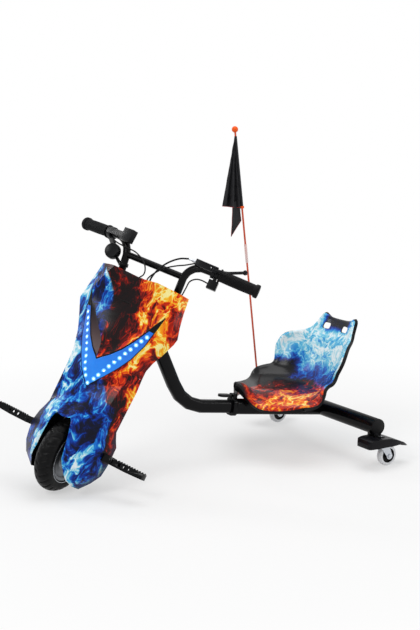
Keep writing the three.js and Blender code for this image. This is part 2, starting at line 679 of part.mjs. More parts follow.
// Each station of the fairing gives its height, then pairs of side and depth from the steering axis:
// the centre line, the inner panel edge, the lamp's inner edge, the lamp's outer edge, the front
// crease, the widest edge, the rear corner and the rear centre. All are shares of the fairing's
// height, half width and depth.
const fairingShares = [
  [0.000, 0, -0.38, 0.10, -0.38, 0.20, -0.38, 0.29, -0.36, 0.40, 0.03, 0.48, 0.33, 0.34, 0.60, 0, 0.60],
  [0.050, 0, -0.50, 0.10, -0.50, 0.20, -0.50, 0.29, -0.48, 0.585, -0.04, 0.64, 0.33, 0.46, 0.70, 0, 0.70],
  [0.099, 0, -0.62, 0.10, -0.62, 0.20, -0.62, 0.30, -0.60, 0.675, -0.07, 0.75, 0.33, 0.55, 0.76, 0, 0.76],
  [0.149, 0, -0.68, 0.10, -0.68, 0.20, -0.68, 0.30, -0.65, 0.703, -0.09, 0.775, 0.33, 0.57, 0.78, 0, 0.78],
  [0.199, 0, -0.74, 0.10, -0.73, 0.20, -0.72, 0.30, -0.66, 0.71, -0.11, 0.78, 0.33, 0.58, 0.79, 0, 0.79],
  [0.245, 0, -0.80, 0.10, -0.79, 0.20, -0.76, 0.29, -0.69, 0.67, -0.12, 0.773, 0.34, 0.58, 0.80, 0, 0.80],
  [0.275, 0, -0.82, 0.10, -0.80, 0.19, -0.75, 0.28, -0.68, 0.605, -0.18, 0.727, 0.28, 0.55, 0.80, 0, 0.80],
  [0.308, 0, -0.72, 0.10, -0.70, 0.18, -0.66, 0.27, -0.60, 0.547, -0.22, 0.69, 0.21, 0.51, 0.80, 0, 0.80],
  [0.374, 0, -0.49, 0.08, -0.48, 0.15, -0.46, 0.24, -0.44, 0.52, -0.31, 0.70, 0.19, 0.51, 0.80, 0, 0.80],
  [0.439, 0, -0.36, 0.02, -0.36, 0.04, -0.36, 0.06, -0.36, 0.535, -0.28, 0.703, 0.19, 0.51, 0.80, 0, 0.80],
  [0.508, 0, -0.46, 0.02, -0.46, 0.06, -0.455, 0.225, -0.42, 0.552, -0.24, 0.71, 0.19, 0.51, 0.80, 0, 0.80],
  [0.574, 0, -0.54, 0.02, -0.54, 0.04, -0.535, 0.39, -0.34, 0.587, -0.20, 0.71, 0.14, 0.51, 0.80, 0, 0.80],
  [0.616, 0, -0.44, 0.06, -0.44, 0.171, -0.51, 0.47, -0.30, 0.64, -0.17, 0.72, 0.10, 0.51, 0.80, 0, 0.80],
  [0.662, 0, -0.34, 0.13, -0.33, 0.32, -0.465, 0.546, -0.29, 0.70, -0.13, 0.773, 0.09, 0.53, 0.80, 0, 0.80],
  [0.720, 0, -0.31, 0.30, -0.30, 0.453, -0.42, 0.616, -0.28, 0.78, -0.15, 0.872, 0.10, 0.56, 0.80, 0, 0.80],
  [0.781, 0, -0.31, 0.465, -0.30, 0.576, -0.38, 0.68, -0.31, 0.884, -0.17, 0.97, 0.08, 0.60, 0.80, 0, 0.80],
  [0.808, 0, -0.31, 0.52, -0.32, 0.622, -0.365, 0.703, -0.31, 0.936, -0.15, 1.000, 0.05, 0.60, 0.80, 0, 0.80],
  [0.861, 0, -0.31, 0.60, -0.35, 0.71, -0.335, 0.75, -0.31, 0.884, -0.21, 0.96, -0.01, 0.60, 0.80, 0, 0.80],
  [0.927, 0, -0.30, 0.45, -0.50, 0.64, -0.42, 0.744, -0.33, 0.837, -0.22, 0.916, -0.02, 0.60, 0.80, 0, 0.80],
  [1.000, 0, -0.22, 0.436, -0.64, 0.58, -0.50, 0.71, -0.32, 0.802, -0.21, 0.878, 0.00, 0.60, 0.80, 0, 0.80],
];

// A loop moved inwards by the wall, keeping every corner.
function insetLoop(loop, inset) {
  const count = loop.length;
  return loop.map((corner, i) => {
    const before = corner.clone().sub(loop[(i + count - 1) % count]).normalize();
    const after = loop[(i + 1) % count].clone().sub(corner).normalize();
    const inward = (d) => point(-d.y, d.x, 0);
    const mitre = inward(before).add(inward(after));
    const scale = 2 * inset / Math.max(mitre.lengthSq(), 1);
    return corner.clone().addScaledVector(mitre, scale);
  });
}

function fairingBody(inset, endReach) {
  const loops = fairingShares.map(([rise, ...pairs]) => {
    const up = fairing.bottom + rise * fairing.height;
    const half = [];
    for (let i = 0; i < pairs.length; i += 2) {
      half.push([pairs[i] * fairing.halfWidth, pairs[i + 1] * fairing.depth]);
    }
    const left = half.map(([side, depth]) => point(side, depth, up));
    const right = half.slice(1, -1).reverse().map(([side, depth]) => point(-side, depth, up));
    return insetLoop([...left, ...right], inset);
  });
  loops[0].forEach((corner) => { corner.z -= endReach; });
  loops[loops.length - 1].forEach((corner) => { corner.z += endReach; });
  return loft(loops);
}

// The wheel's slot widens towards the ground: half width and height, as shares of the arch's radius.
const slotShares = [
  [0.03, 0.9], [0.12, 0.87], [0.195, 0.79], [0.24, 0.66], [0.265, 0.5], [0.3, 0.25], [0.325, 0], [0.42, -0.25],
  [0.56, -0.5], [0.66, -0.9],
];

function slotCutter() {
  const half = slotShares.map(([side, up]) => [side * arch.radius, up * arch.radius]);
  const outline = shapeOf([...half, ...mirrored(half).reverse()]);
  const reach = 2 * arch.radius;
  return common(pushedBackward(outline, -reach, reach),
    rod(arch.radius, point(-reach, wheel.behind, wheel.up), point(reach, wheel.behind, wheel.up),
    wheelSides));
}

const wheelSlot = slotCutter();

// The lamp's V, on the rider's left, as side and height in the steering frame.
const lampSize = { half: 129, tip: 466, outerVertex: 205 };
const lampSpan = lampSize.tip - lampSize.outerVertex;
const lampOuterShares = [[0, 0], [0.302, 0.161], [0.519, 0.317], [0.68, 0.458], [0.822, 0.636],
  [0.91, 0.8], [1, 1]];
const lampInnerShares = [[0.884, 0.904], [0.767, 0.793], [0.605, 0.651], [0.428, 0.517], [0.229, 0.41],
  [0, 0.314]];

function lampOutline() {
  const place = ([side, rise]) => [side * lampSize.half, lampSize.outerVertex + rise * lampSpan];
  const left = [...lampOuterShares, ...lampInnerShares].map(place);
  return [...left, ...mirrored(left.slice(1, -1)).reverse()];
}

// Moves each corner of a closed outline outwards, or inwards where the distance is negative.
function outlineMoved(outline, distance) {
  const count = outline.length;
  return outline.map(([x, y], i) => {
    const [px, py] = outline[(i + count - 1) % count];
    const [nx, ny] = outline[(i + 1) % count];
    const before = new THREE.Vector2(x - px, y - py).normalize();
    const after = new THREE.Vector2(nx - x, ny - y).normalize();
    const normal = new THREE.Vector2(before.y + after.y, -before.x - after.x);
    const scale = 2 * distance / Math.max(normal.lengthSq(), 0.6);
    return [x + normal.x * scale, y + normal.y * scale];
  });
}

const outerFairing = fairingBody(0, 0);
const innerFairing = fairingBody(fairing.wall, overrun);
const lampReach = fairing.depth;
const armHoleHalf = peg.half + runningGap + peg.earThick + arch.armGap;
const armCut = box(-fairing.halfWidth, fairing.halfWidth, peg.pivotBack - armHoleHalf,
  peg.pivotBack + armHoleHalf,
  peg.pivotUp - peg.armHalf - arch.armGap, peg.pivotUp + peg.armHalf + arch.armGap);

function frontShell() {
  const reach = 2 * fairing.depth;
  const front = box(-reach, reach, -reach, fairing.partingAt - fairing.partingGap / 2,
    fairing.bottom - reach, cover.top);
  const mask = box(-reach, reach, -reach, fairing.depth / 4, cover.top - fairing.partingGap,
    fairing.bottom + fairing.height + reach);
  const window = pushedBackward(shapeOf(outlineMoved(lampOutline(), lamp.gap)), -lampReach, 0);
  return cut(common(cut(outerFairing, innerFairing, wheelSlot), join(front, mask)), window, armCut);
}

function rearCover() {
  const reach = 2 * fairing.depth;
  const deck = fairingBody(0, 0);
  const hollow = common(fairingBody(fairing.wall, overrun),
    box(-reach, reach, -reach, reach, fairing.bottom - reach, cover.top - fairing.wall));
  const back = box(-reach, reach, fairing.partingAt + fairing.partingGap / 2, reach, fairing.bottom - reach,
    cover.top - 2 * fairing.partingGap);
  const columnHole = turned(rodProfile(cover.columnHole, 0, fairing.height), round);
  return cut(common(cut(deck, hollow, wheelSlot), back), columnHole, armCut);
}

// The lamp: a black tray set into the shell, with its row of dots, and a clear lens over it.

const lensTop = 415;

function lampFront(inset, top) {
  const front = pushedBackward(shapeOf(outlineMoved(lampOutline(), -inset)), -lampReach, 0);
  return common(front, box(-lampReach * 2, lampReach * 2, -lampReach, 0, 0, top));
}

function lampTray() {
  const body = common(cut(outerFairing, fairingBody(lamp.trayDepth, overrun)),
    pushedBackward(shapeOf(lampOutline()), -lampReach, 0));
  const skin = fairingBody(lamp.lensThick + lamp.dotHeight + lamp.gap, overrun);
  return cut(body, cut(lampFront(lamp.rim / 2, lensTop), skin));
}

function lampLens() {
  return common(cut(outerFairing, fairingBody(lamp.lensThick, overrun)),
    lampFront(lamp.rim / 2 + lamp.gap, lensTop - lamp.gap));
}

add(steering, 'front_shell', frontShell(), firePrint);
add(steering, 'rear_cover', rearCover(), icePrint);
add(steering, 'lamp_tray', lampTray(), blackPlastic);
add(steering, 'lamp_lens', lampLens(), blueLens);

// Battery and controller behind the column

const pack = { half: 75, depth: 44, bottom: 152, height: 88 };
const controllerBox = { half: 45, depth: 30, height: 40 };
const backWall = 0.80 * fairing.depth - fairing.wall - seatGap;

add(steering, 'battery_pack',
  box(-pack.half, pack.half, backWall - pack.depth, backWall, pack.bottom, pack.bottom + pack.height),
  packBlue);
const controllerFloor = pack.bottom + pack.height + seatGap;
add(steering, 'controller', box(-controllerBox.half, controllerBox.half, backWall - controllerBox.depth,
  backWall, controllerFloor, controllerFloor + controllerBox.height), castAlloy);

// Handlebar

const barRise = 103.4;
const barUp = plateRoof + barRise;
const barRiser = { side: 97, back: 25 };
const barCorner = { side: 102, back: -1 };
const barSweep = { side: 168, back: 12 };
const barEnd = { side: 303, back: 61, rise: 5 };
const barBend = { corner: 52, sweep: 40 };
const crossbarDrop = 43;
const crossbarUp = barUp - crossbarDrop;

function barCorners(side) {
  return [
    point(side * barRiser.side, barRiser.back, plateRoof - bar.plateThick / 2),
    point(side * barCorner.side, barCorner.back, barUp),
    point(side * barSweep.side, barSweep.back, barUp),
    point(side * barEnd.side, barEnd.back, barUp + barEnd.rise),
  ];
}

function handlebar() {
  const bends = [barBend.corner, barBend.sweep];
  const tubes = [-1, 1].map((side) => swept(circle(bar.radius, 10), bentPath(barCorners(side), bends), 14));
  const share = (crossbarUp - plateRoof) / barRise;
  const side = barRiser.side + (barCorner.side - barRiser.side) * share;
  const back = barRiser.back + (barCorner.back - barRiser.back) * share;
  const cross = rod(bar.crossRadius, point(-side, back, crossbarUp), point(side, back, crossbarUp), 12);
  const plate = box(-barRiser.side - bar.radius, barRiser.side + bar.radius, bar.plateFront, bar.plateRear,
    plateFloor, plateRoof);
  const boss = turned(rodProfile(bar.bossRadius, plateFloor, plateRoof), round);
  const hole = turned(rodProfile(forkSize.studRadius + seatGap, plateFloor - overrun,
    plateRoof + overrun), round);
  return cut(join(plate, boss, ...tubes, cross), hole);
}

// A group whose X runs outwards along the grip stretch of the bar, with Z up.
function barGroup(side) {
  const [, , start, end] = barCorners(side);
  const x = end.clone().sub(start).normalize();
  const z = point(0, 0, 1).addScaledVector(x, -x.z).normalize();
  const y = z.clone().cross(x);
  const group = new THREE.Group();
  group.quaternion.setFromRotationMatrix(new THREE.Matrix4().makeBasis(x, y, z));
  group.position.copy(start);
  steering.add(group);
  return group;
}

function gripBody() {
  const bore = bar.radius + seatGap;
  const neck = grip.radius - seatGap * 4;
  const profile = [
    [bore, grip.start], [grip.flangeRadius, grip.start], [grip.flangeRadius, grip.start + grip.flange],
    [neck, grip.start + 2 * grip.flange], [grip.radius, (grip.start + grip.end) / 2],
    [grip.radius, grip.end - 2 * grip.flange], [grip.flangeRadius, grip.end - grip.flange],
    [grip.flangeRadius, grip.end + grip.flange / 2], [0, grip.end + grip.flange / 2],
    [0, grip.end], [bore, grip.end], [bore, grip.start],
  ];
  return turned(profile, round).rotateY(Math.PI / 2);
}

// The place in the steering frame of a point given in one of its groups.
function placeOf(group, x, y, z) {
  group.updateMatrix();
  return point(x, y, z).applyMatrix4(group.matrix);
}

const leftBar = barGroup(1);
const rightBar = barGroup(-1);
add(steering, 'handlebar', handlebar(), blackSteel);
add(leftBar, 'grip_left', gripBody(), rubber);
add(rightBar, 'grip_right', gripBody(), rubber);

function barRing(from, to, outer) {
  return turned(ringProfile(bar.radius + 2 * seatGap, outer, from, to), round).rotateY(Math.PI / 2);
}

// Brake lever on the left: a clamp, a body that reaches inboard, and the lever in front of the grip.

const brake = {
  clampFrom: 4, clampTo: 13.6, clampRadius: 16, pivotAlong: 9, pivotFront: 25, pivotUp: 6, bodyInner: -46,
  bodyHalf: 8, bodyLow: -3, bodyHigh: 15, boltRadius: 3, bladeHalf: 4, kneeAlong: 45, kneeFront: 43,
  kneeUp: 6, tipAlong: 94, tipFront: 46, tipUp: 28, bladeRadius: 3.5, ballRadius: 7.5, adjusterRadius: 4,
  adjusterLength: 20,
};

function brakeBody() {
  const ring = barRing(brake.clampFrom, brake.clampTo, brake.clampRadius);
  const front = -brake.pivotFront;
  const eye = brake.bodyHalf + brake.boltRadius;
  const body = box(brake.bodyInner, brake.pivotAlong + eye, front - brake.bodyHalf, front + brake.bodyHalf,
    brake.bodyLow, brake.bodyHigh);
  const strut = box(brake.clampFrom, brake.clampTo, front, -bar.radius - 2 * seatGap, brake.bodyLow,
    brake.clampRadius);
  const mouth = box(brake.pivotAlong - eye - runningGap, brake.pivotAlong + eye + overrun,
    front - brake.bodyHalf - overrun,
    front + brake.bodyHalf + overrun, brake.pivotUp - brake.bladeHalf - runningGap,
    brake.pivotUp + brake.bladeHalf + runningGap);
  const bolt = rod(brake.boltRadius, point(brake.pivotAlong, front, brake.bodyLow + 1 / 2 * overrun),
    point(brake.pivotAlong, front, brake.bodyHigh + 1 / 2 * overrun), small);
  return join(cut(join(ring, strut, body), mouth), bolt);
}

function brakeLeverArm() {
  const eyeRadius = brake.bodyHalf - runningGap;
  const eye = turned(rodProfile(eyeRadius, brake.pivotUp - brake.bladeHalf,
    brake.pivotUp + brake.bladeHalf), round)
    .translate(brake.pivotAlong, -brake.pivotFront, 0);
  const path = bentPath([
    point(brake.pivotAlong, -brake.pivotFront, brake.pivotUp),
    point(brake.kneeAlong, -brake.kneeFront, brake.kneeUp),
    point(brake.tipAlong, -brake.tipFront, brake.tipUp),
  ], [brake.kneeAlong]);
  const blade = swept(roundedRectangle(2 * brake.bladeHalf, 2 * brake.bladeRadius, brake.bladeHalf / 2),
    path, 8, 1);
  const ball = new THREE.SphereGeometry(brake.ballRadius, 10, 6)
    .translate(brake.tipAlong, -brake.tipFront, brake.tipUp);
  const hole = turned(rodProfile(brake.boltRadius + runningGap, 0, 2 * brake.bodyHigh), small)
    .translate(brake.pivotAlong, -brake.pivotFront, 0);
  return cut(join(eye, blade, ball), hole);
}

function cableAdjuster() {
  const inner = brake.bodyInner - seatGap;
  const barrel = brake.adjusterRadius;
  const profile = [
    [0, 0], [barrel, 0], [barrel, brake.adjusterLength / 2], [barrel * 0.7, brake.adjusterLength / 2],
    [barrel * 0.7, brake.adjusterLength], [0, brake.adjusterLength],
  ];
  const middle = (brake.bodyLow + brake.bodyHigh) / 2;
  return aim(turned(profile, small), point(inner, -brake.pivotFront, middle),
    point(inner - brake.adjusterLength, -brake.pivotFront, middle));
}

add(leftBar, 'brake_body', brakeBody(), blackPlastic);
add(leftBar, 'brake_lever', brakeLeverArm(), blackPlastic);
add(leftBar, 'cable_adjuster', cableAdjuster(), zinc);

// Speed switch below the left bar, with a rocker in its rear face

const speedSwitch = {
  clampFrom: 14.5, clampTo: 24.5, clampRadius: 14, width: 28, depth: 20, height: 26,
  drop: 20, knob: 8, travel: 3,
};

function switchBox() {
  const ring = barRing(speedSwitch.clampFrom, speedSwitch.clampTo, speedSwitch.clampRadius);
  const top = -speedSwitch.drop;
  const middle = (speedSwitch.clampFrom + speedSwitch.clampTo) / 2;
  const half = speedSwitch.width / 2;
  const body = box(middle - half, middle + half, -speedSwitch.depth / 2, speedSwitch.depth / 2,
    top - speedSwitch.height, top);
  const neck = box(speedSwitch.clampFrom, speedSwitch.clampTo, -bar.radius / 2, bar.radius / 2,
    top - overrun, -bar.radius - 2 * seatGap);
  const well = speedSwitch.knob / 2 + runningGap;
  const centre = top - speedSwitch.height / 2;
  const socket = box(middle - well, middle + well, speedSwitch.depth / 2 - 2 * speedSwitch.travel,
    speedSwitch.depth, centre - well, centre + well);
  return cut(join(ring, neck, body), socket);
}

function switchButton() {
  const middle = (speedSwitch.clampFrom + speedSwitch.clampTo) / 2;
  const half = speedSwitch.knob / 2;
  const centre = -speedSwitch.drop - speedSwitch.height / 2;
  return box(middle - half, middle + half, speedSwitch.depth / 2 - speedSwitch.travel + seatGap,
    speedSwitch.depth / 2 + speedSwitch.travel, centre - half, centre + half);
}

add(leftBar, 'switch_box', switchBox(), blackPlastic);
add(leftBar, 'switch_button', switchButton(), firePrint);

// Thumb throttle and display on the right bar; there the group's Y points forwards

const throttle = {
  from: 4, to: 16, radius: 18, boxWidth: 42, boxDepth: 18, boxAhead: 3, boxLow: -13, boxHigh: 25,
  boxInner: -97, leverFrom: 16.6,
  leverTo: 23, leverRadius: 17, paddleReach: 42, paddleThick: 6, paddleWide: 24, paddleAngle: 35 * degree,
};

function throttleHousing() {
  const ring = barRing(throttle.from, throttle.to, throttle.radius);
  const ahead = bar.radius + 2 * seatGap;
  const display = box(throttle.boxInner, throttle.boxInner + throttle.boxWidth, throttle.boxAhead,
    throttle.boxAhead + throttle.boxDepth, throttle.boxLow, throttle.boxHigh);
  const linkEnd = throttle.boxInner + throttle.boxWidth - overrun;
  const link = box(linkEnd, throttle.to, ahead, throttle.boxAhead + throttle.boxDepth, -bar.radius / 2,
    bar.radius);
  return join(ring, link, display);
}

function thumbLever() {
  const ring = barRing(throttle.leverFrom, throttle.leverTo, throttle.leverRadius);
  const paddle = box(throttle.leverFrom, throttle.leverFrom + throttle.paddleWide, -throttle.paddleReach,
    -bar.radius - overrun, -throttle.paddleThick / 2, throttle.paddleThick / 2);
  const clear = turned(rodProfile(grip.flangeRadius + 2 * runningGap, grip.start - 2 * runningGap,
    grip.end), round).rotateY(Math.PI / 2);
  return join(ring, cut(paddle, clear,
    rod(bar.radius + 2 * seatGap, point(0, 0, 0), point(grip.end, 0, 0), round))
    .rotateX(throttle.paddleAngle));
}

add(rightBar, 'throttle_housing', throttleHousing(), blackPlastic);
add(rightBar, 'thumb_lever', thumbLever(), blackPlastic);

// Horn on the right riser

const hornSize = {
  side: 138, back: -2, drop: 52, radius: 23, depth: 26, clampDrop: 74, clampHigh: 10, clampRadius: 14.5,
  strap: 5,
};

function horn() {
  const half = hornSize.depth / 2;
  const profile = [
    [0, -half], [hornSize.radius * 0.5, -half], [hornSize.radius, -half * 0.4], [hornSize.radius, half * 0.6],
    [hornSize.radius * 0.92, half], [hornSize.radius * 0.7, half * 0.85], [0, half * 0.85],
  ];
  const body = turned(profile, round).rotateX(Math.PI / 2)
    .translate(-hornSize.side, hornSize.back, barUp - hornSize.drop);
  const corners = barCorners(-1);
  const share = (barUp - hornSize.clampDrop - corners[0].z) / (corners[1].z - corners[0].z);
  const middle = corners[0].clone().lerp(corners[1], share);
  const clamp = aim(turned(ringProfile(bar.radius + 2 * seatGap, hornSize.clampRadius,
    -hornSize.clampHigh / 2, hornSize.clampHigh / 2), round), middle, corners[1]);
  const strap = rod(hornSize.strap, point(middle.x - bar.radius - hornSize.strap / 2, middle.y, middle.z),
    point(-hornSize.side, hornSize.back, barUp - hornSize.drop), small);
  const riser = rod(bar.radius + 2 * seatGap, corners[0], corners[1], round);
  return join(body, clamp, cut(strap, riser));
}

add(steering, 'horn', horn(), blackPlastic);

// Cables from the controls into the fairing

const cable = { brakeRadius: 2.5, leadRadius: 2, endGap: 1.8, steps: 26, sides: 6 };

// A cable from its control through places given as shares of the handlebar's height above the axle.
function cableRun(start, shares, radius) {
  const route = shares.map(([x, y, z]) => point(x, y, z).multiplyScalar(barUp));
  return swept(circle(radius, cable.sides), new THREE.CatmullRomCurve3([start, ...route]), cable.steps);
}

const brakeShares = [
  [0.1313, -0.0437, 0.9938], [0.0906, -0.0406, 0.9641], [0.0594, -0.0375, 0.9250],
  [0.0422, -0.0328, 0.8875], [0.0344, -0.0234, 0.8562], [0.0422, -0.0109, 0.8250],
  [0.0453, -0.0078, 0.7812], [0.0531, -0.0156, 0.7031], [0.0766, -0.0312, 0.5938],
  [0.0734, -0.0219, 0.3906], [0.0688, -0.0453, 0.2578], [0.0672, -0.0453, 0.2109],
  [0.0609, -0.0156, 0.1625], [0.0578, -0.0016, 0.1313],
];
const brakeSwitchShares = [
  [0.1625, -0.0281, 0.9797], [0.1187, -0.0234, 0.9609], [0.0734, -0.0211, 0.9344],
  [0.0437, -0.0211, 0.9047], [0.0234, -0.0227, 0.8734], [0.0187, -0.0234, 0.8547],
  [0.0281, -0.0258, 0.8344], [0.0344, -0.0281, 0.8047], [0.0437, -0.0312, 0.7344],
  [0.0531, -0.0250, 0.5938], [0.0531, -0.0125, 0.4531], [0.0500, 0.0219, 0.4094], [0.0500, 0.0725, 0.4094],
];
const switchShares = [
  [0.2344, 0.0266, 0.9516], [0.2062, 0.0312, 0.9469], [0.1812, 0.0375, 0.9281], [0.1719, 0.0500, 0.8938],
  [0.1625, 0.0594, 0.8562], [0.1375, 0.0680, 0.8234], [0.1000, 0.0422, 0.7812], [0.0797, 0.0063, 0.7406],
  [0.0734, -0.0125, 0.6719], [0.0703, -0.0125, 0.5938], [0.0703, -0.0094, 0.4844],
  [0.0703, -0.0047, 0.4437], [0.0703, 0.0219, 0.4125], [0.0703, 0.0725, 0.4094],
];
const throttleShares = [
  [-0.2281, -0.0312, 0.9656], [-0.1938, -0.0344, 0.9578], [-0.1375, -0.0312, 0.9531],
  [-0.0938, -0.0281, 0.9500], [-0.0375, -0.0250, 0.9250], [-0.0125, -0.0234, 0.8938],
  [-0.0094, -0.0227, 0.8703], [-0.0203, -0.0219, 0.8547], [-0.0328, -0.0187, 0.8344],
  [-0.0422, -0.0141, 0.8047], [-0.0469, -0.0219, 0.7344], [-0.0531, -0.0219, 0.5938],
  [-0.0531, -0.0094, 0.4531], [-0.0500, 0.0250, 0.4094], [-0.0500, 0.0725, 0.4094],
];
const brakeStart = placeOf(leftBar, brake.bodyInner - seatGap - brake.adjusterLength - cable.endGap,
  -brake.pivotFront, (brake.bodyLow + brake.bodyHigh) / 2);
const brakeSwitchStart = placeOf(leftBar, brake.bodyInner - cable.endGap,
  brake.bodyHalf / 2 - brake.pivotFront, brake.bodyLow + brake.bodyHalf / 2);
const switchStart = placeOf(leftBar,
  (speedSwitch.clampFrom + speedSwitch.clampTo - speedSwitch.width) / 2 - cable.endGap, 0,
  -speedSwitch.drop - speedSwitch.height / 2);
const throttleStart = placeOf(rightBar, (throttle.from + throttle.to) / 2, throttle.radius / 3,
  -throttle.radius - cable.leadRadius - seatGap);
add(steering, 'brake_cable', cableRun(brakeStart, brakeShares, cable.brakeRadius), blackPlastic);
add(steering, 'brake_switch_lead', cableRun(brakeSwitchStart, brakeSwitchShares, cable.leadRadius),
  blackPlastic);
add(steering, 'switch_lead', cableRun(switchStart, switchShares, cable.leadRadius), blackPlastic);
add(steering, 'throttle_lead', cableRun(throttleStart, throttleShares, cable.leadRadius), blackPlastic);

// Foot pegs

function pegBracket(side) {
  const half = peg.half + runningGap + peg.earThick;
  const arm = box(legOuter + seatGap, peg.pivotSide - peg.earRadius, -peg.half, peg.half, -peg.armHalf,
    peg.armHalf);
  const foot = box(legOuter + seatGap, legOuter + seatGap + peg.earThick,
    -peg.pivotBack - forkSize.legHalfWidth, half, -peg.earRadius, peg.earRadius);
  const ears = [-1, 1].map((end) => {
    const shape = new THREE.Shape();
    shape.moveTo(peg.pivotSide - 2 * peg.earRadius, -peg.armHalf);
    shape.lineTo(peg.pivotSide, -peg.armHalf);
    shape.absarc(peg.pivotSide, 0, peg.armHalf, -Math.PI / 2, Math.PI / 2);
    shape.lineTo(peg.pivotSide - 2 * peg.earRadius, peg.armHalf);
    const [from, to] = end > 0 ? [half - peg.earThick, half] : [-half, -half + peg.earThick];
    return pushedBackward(shape, from, to);
  });
  const plate = box(peg.pivotSide - 2 * peg.earRadius, peg.pivotSide - peg.earRadius, -half, half,
    -peg.armHalf, peg.armHalf);
  const bolt = rod(peg.boltRadius, point(peg.pivotSide, -half - peg.earThick, 0),
    point(peg.pivotSide, half + peg.earThick, 0), small);
  const heads = [-1, 1].map((end) => rod(peg.boltHead, point(peg.pivotSide, end * half, 0),
    point(peg.pivotSide, end * (half + peg.earThick), 0), hex));
  const whole = join(arm, foot, plate, ...ears, bolt, ...heads);
  return (side < 0 ? otherSide(whole) : whole).translate(0, peg.pivotBack, peg.pivotUp);
}

function footPeg(side) {
  const start = -peg.boltHead - runningGap;
  const top = peg.height / 2;
  const pitch = (peg.length - peg.earRadius - peg.wall) / peg.teeth;
  const first = peg.earRadius + peg.wall;
  const outline = [[0, -top], [start, -top / 2], [start, top / 2], [0, top - peg.toothHeight],
    [first, top - peg.toothHeight]];
  for (let i = 0; i < peg.teeth; i += 1) {
    outline.push([first + (i + 0.45) * pitch, top], [first + (i + 0.9) * pitch, top - peg.toothHeight]);
  }
  outline.push([peg.length, top - peg.toothHeight], [peg.length, -top * 0.8], [peg.length * 0.55, -top]);
  const plate = pushedBackward(shapeOf(outline), -peg.half, peg.half);
  const channel = box(peg.earRadius, peg.length - peg.wall, -peg.half + peg.wall, peg.half - peg.wall,
    -top + 2 * peg.wall, top + overrun);
  const holes = [0.3, 0.46, 0.6].map((share, i) => rod(peg.boltHead * (0.95 - 0.18 * i),
    point(share * peg.length, -peg.half - overrun, 0), point(share * peg.length, peg.half + overrun, 0),
    small));
  const pivot = rod(peg.boltRadius + runningGap, point(0, -peg.half - overrun, 0),
    point(0, peg.half + overrun, 0), small);
  const whole = cut(plate, channel, ...holes, pivot);
  return (side < 0 ? otherSide(whole) : whole).translate(side * peg.pivotSide, peg.pivotBack, peg.pivotUp);
}

for (const [word, side] of [['left', 1], ['right', -1]]) {
  add(steering, `peg_bracket_${word}`, pegBracket(side), blackSteel);
  add(steering, `foot_peg_${word}`, footPeg(side), blackSteel);
}

// Seat

// Each row of the seat gives the centre line's place behind the steering axis and its height, the
// edge's place and height, the half width, the height of the ridge between the legs and how late the
// row bends up to its edge, as shares of the seat's reach, height, half width and bend.
const seatReach = { from: 580, length: 412, low: 180, height: 228 };
const seatBendPower = 3.2;
const ridgeShare = 0.24;
const seatShares = [
  [0.007, 0.263, 0.299, 0.035, 0.984, 0.316, 0.33],
  [0.056, 0.246, 0.320, 0.035, 0.989, 0.272, 0.34],
  [0.102, 0.184, 0.345, 0.035, 0.995, 0.193, 0.36],
  [0.170, 0.127, 0.376, 0.039, 1.000, 0.114, 0.39],
  [0.267, 0.101, 0.408, 0.053, 1.000, 0.053, 0.47],
  [0.364, 0.079, 0.437, 0.088, 1.000, 0.018, 0.62],
  [0.461, 0.066, 0.459, 0.154, 0.989, 0.000, 0.81],
  [0.546, 0.066, 0.485, 0.211, 0.953, 0.000, 0.94],
  [0.626, 0.083, 0.539, 0.246, 0.889, 0.000, 1.00],
  [0.684, 0.136, 0.592, 0.263, 0.847, 0.000, 1.00],
  [0.728, 0.211, 0.621, 0.307, 0.832, 0.000, 1.00],
  [0.760, 0.307, 0.636, 0.386, 0.847, 0.000, 1.00],
  [0.789, 0.417, 0.650, 0.461, 0.879, 0.000, 1.00],
  [0.830, 0.561, 0.672, 0.557, 0.900, 0.000, 1.00],
  [0.869, 0.680, 0.728, 0.680, 0.832, 0.000, 1.00],
  [0.903, 0.750, 0.852, 0.754, 0.579, 0.000, 1.00],
  [0.932, 0.833, 0.900, 0.833, 0.484, 0.000, 1.00],
  [0.959, 0.912, 0.944, 0.952, 0.421, 0.000, 1.00],
  [0.971, 0.930, 0.951, 0.974, 0.389, 0.000, 1.00],
];

function seatSurface() {
  const tracks = seatShares[0].map((_, k) => new THREE.CatmullRomCurve3(
    seatShares.map((row, i) => point(i, row[k], 0)), false, 'centripetal'));
  const rows = [];
  for (let i = 0; i <= seat.rows; i += 1) {
    const [cy, cz, ey, ez, w, pommel, bow] = tracks.map((track) => track.getPoint(i / seat.rows).y);
    const base = cz - pommel;
    const row = [];
    for (let j = 0; j <= seat.columns; j += 1) {
      const along = 2 * j / seat.columns - 1;
      const k = Math.sign(along) * Math.abs(along) ** seat.columnBias;
      const lift = Math.abs(k) ** seatBendPower;
      const back = Math.abs(k) ** (bow * seatBendPower);
      const ridge = pommel * Math.exp(-((k / ridgeShare) ** 2));
      row.push(point(k * w * seat.halfWidth, seatReach.from + (cy + (ey - cy) * back) * seatReach.length,
        seatReach.low + (base + (ez - base) * lift + ridge) * seatReach.height));
    }
    rows.push(row);
  }
  return rows;
}

function rowNormals(rows) {
  return rows.map((row, i) => row.map((corner, j) => {
    const along = rows[Math.min(i + 1, rows.length - 1)][j].clone().sub(rows[Math.max(i - 1, 0)][j]);
    const across = row[Math.min(j + 1, row.length - 1)].clone().sub(row[Math.max(j - 1, 0)]);
    return across.cross(along).normalize();
  }));
}

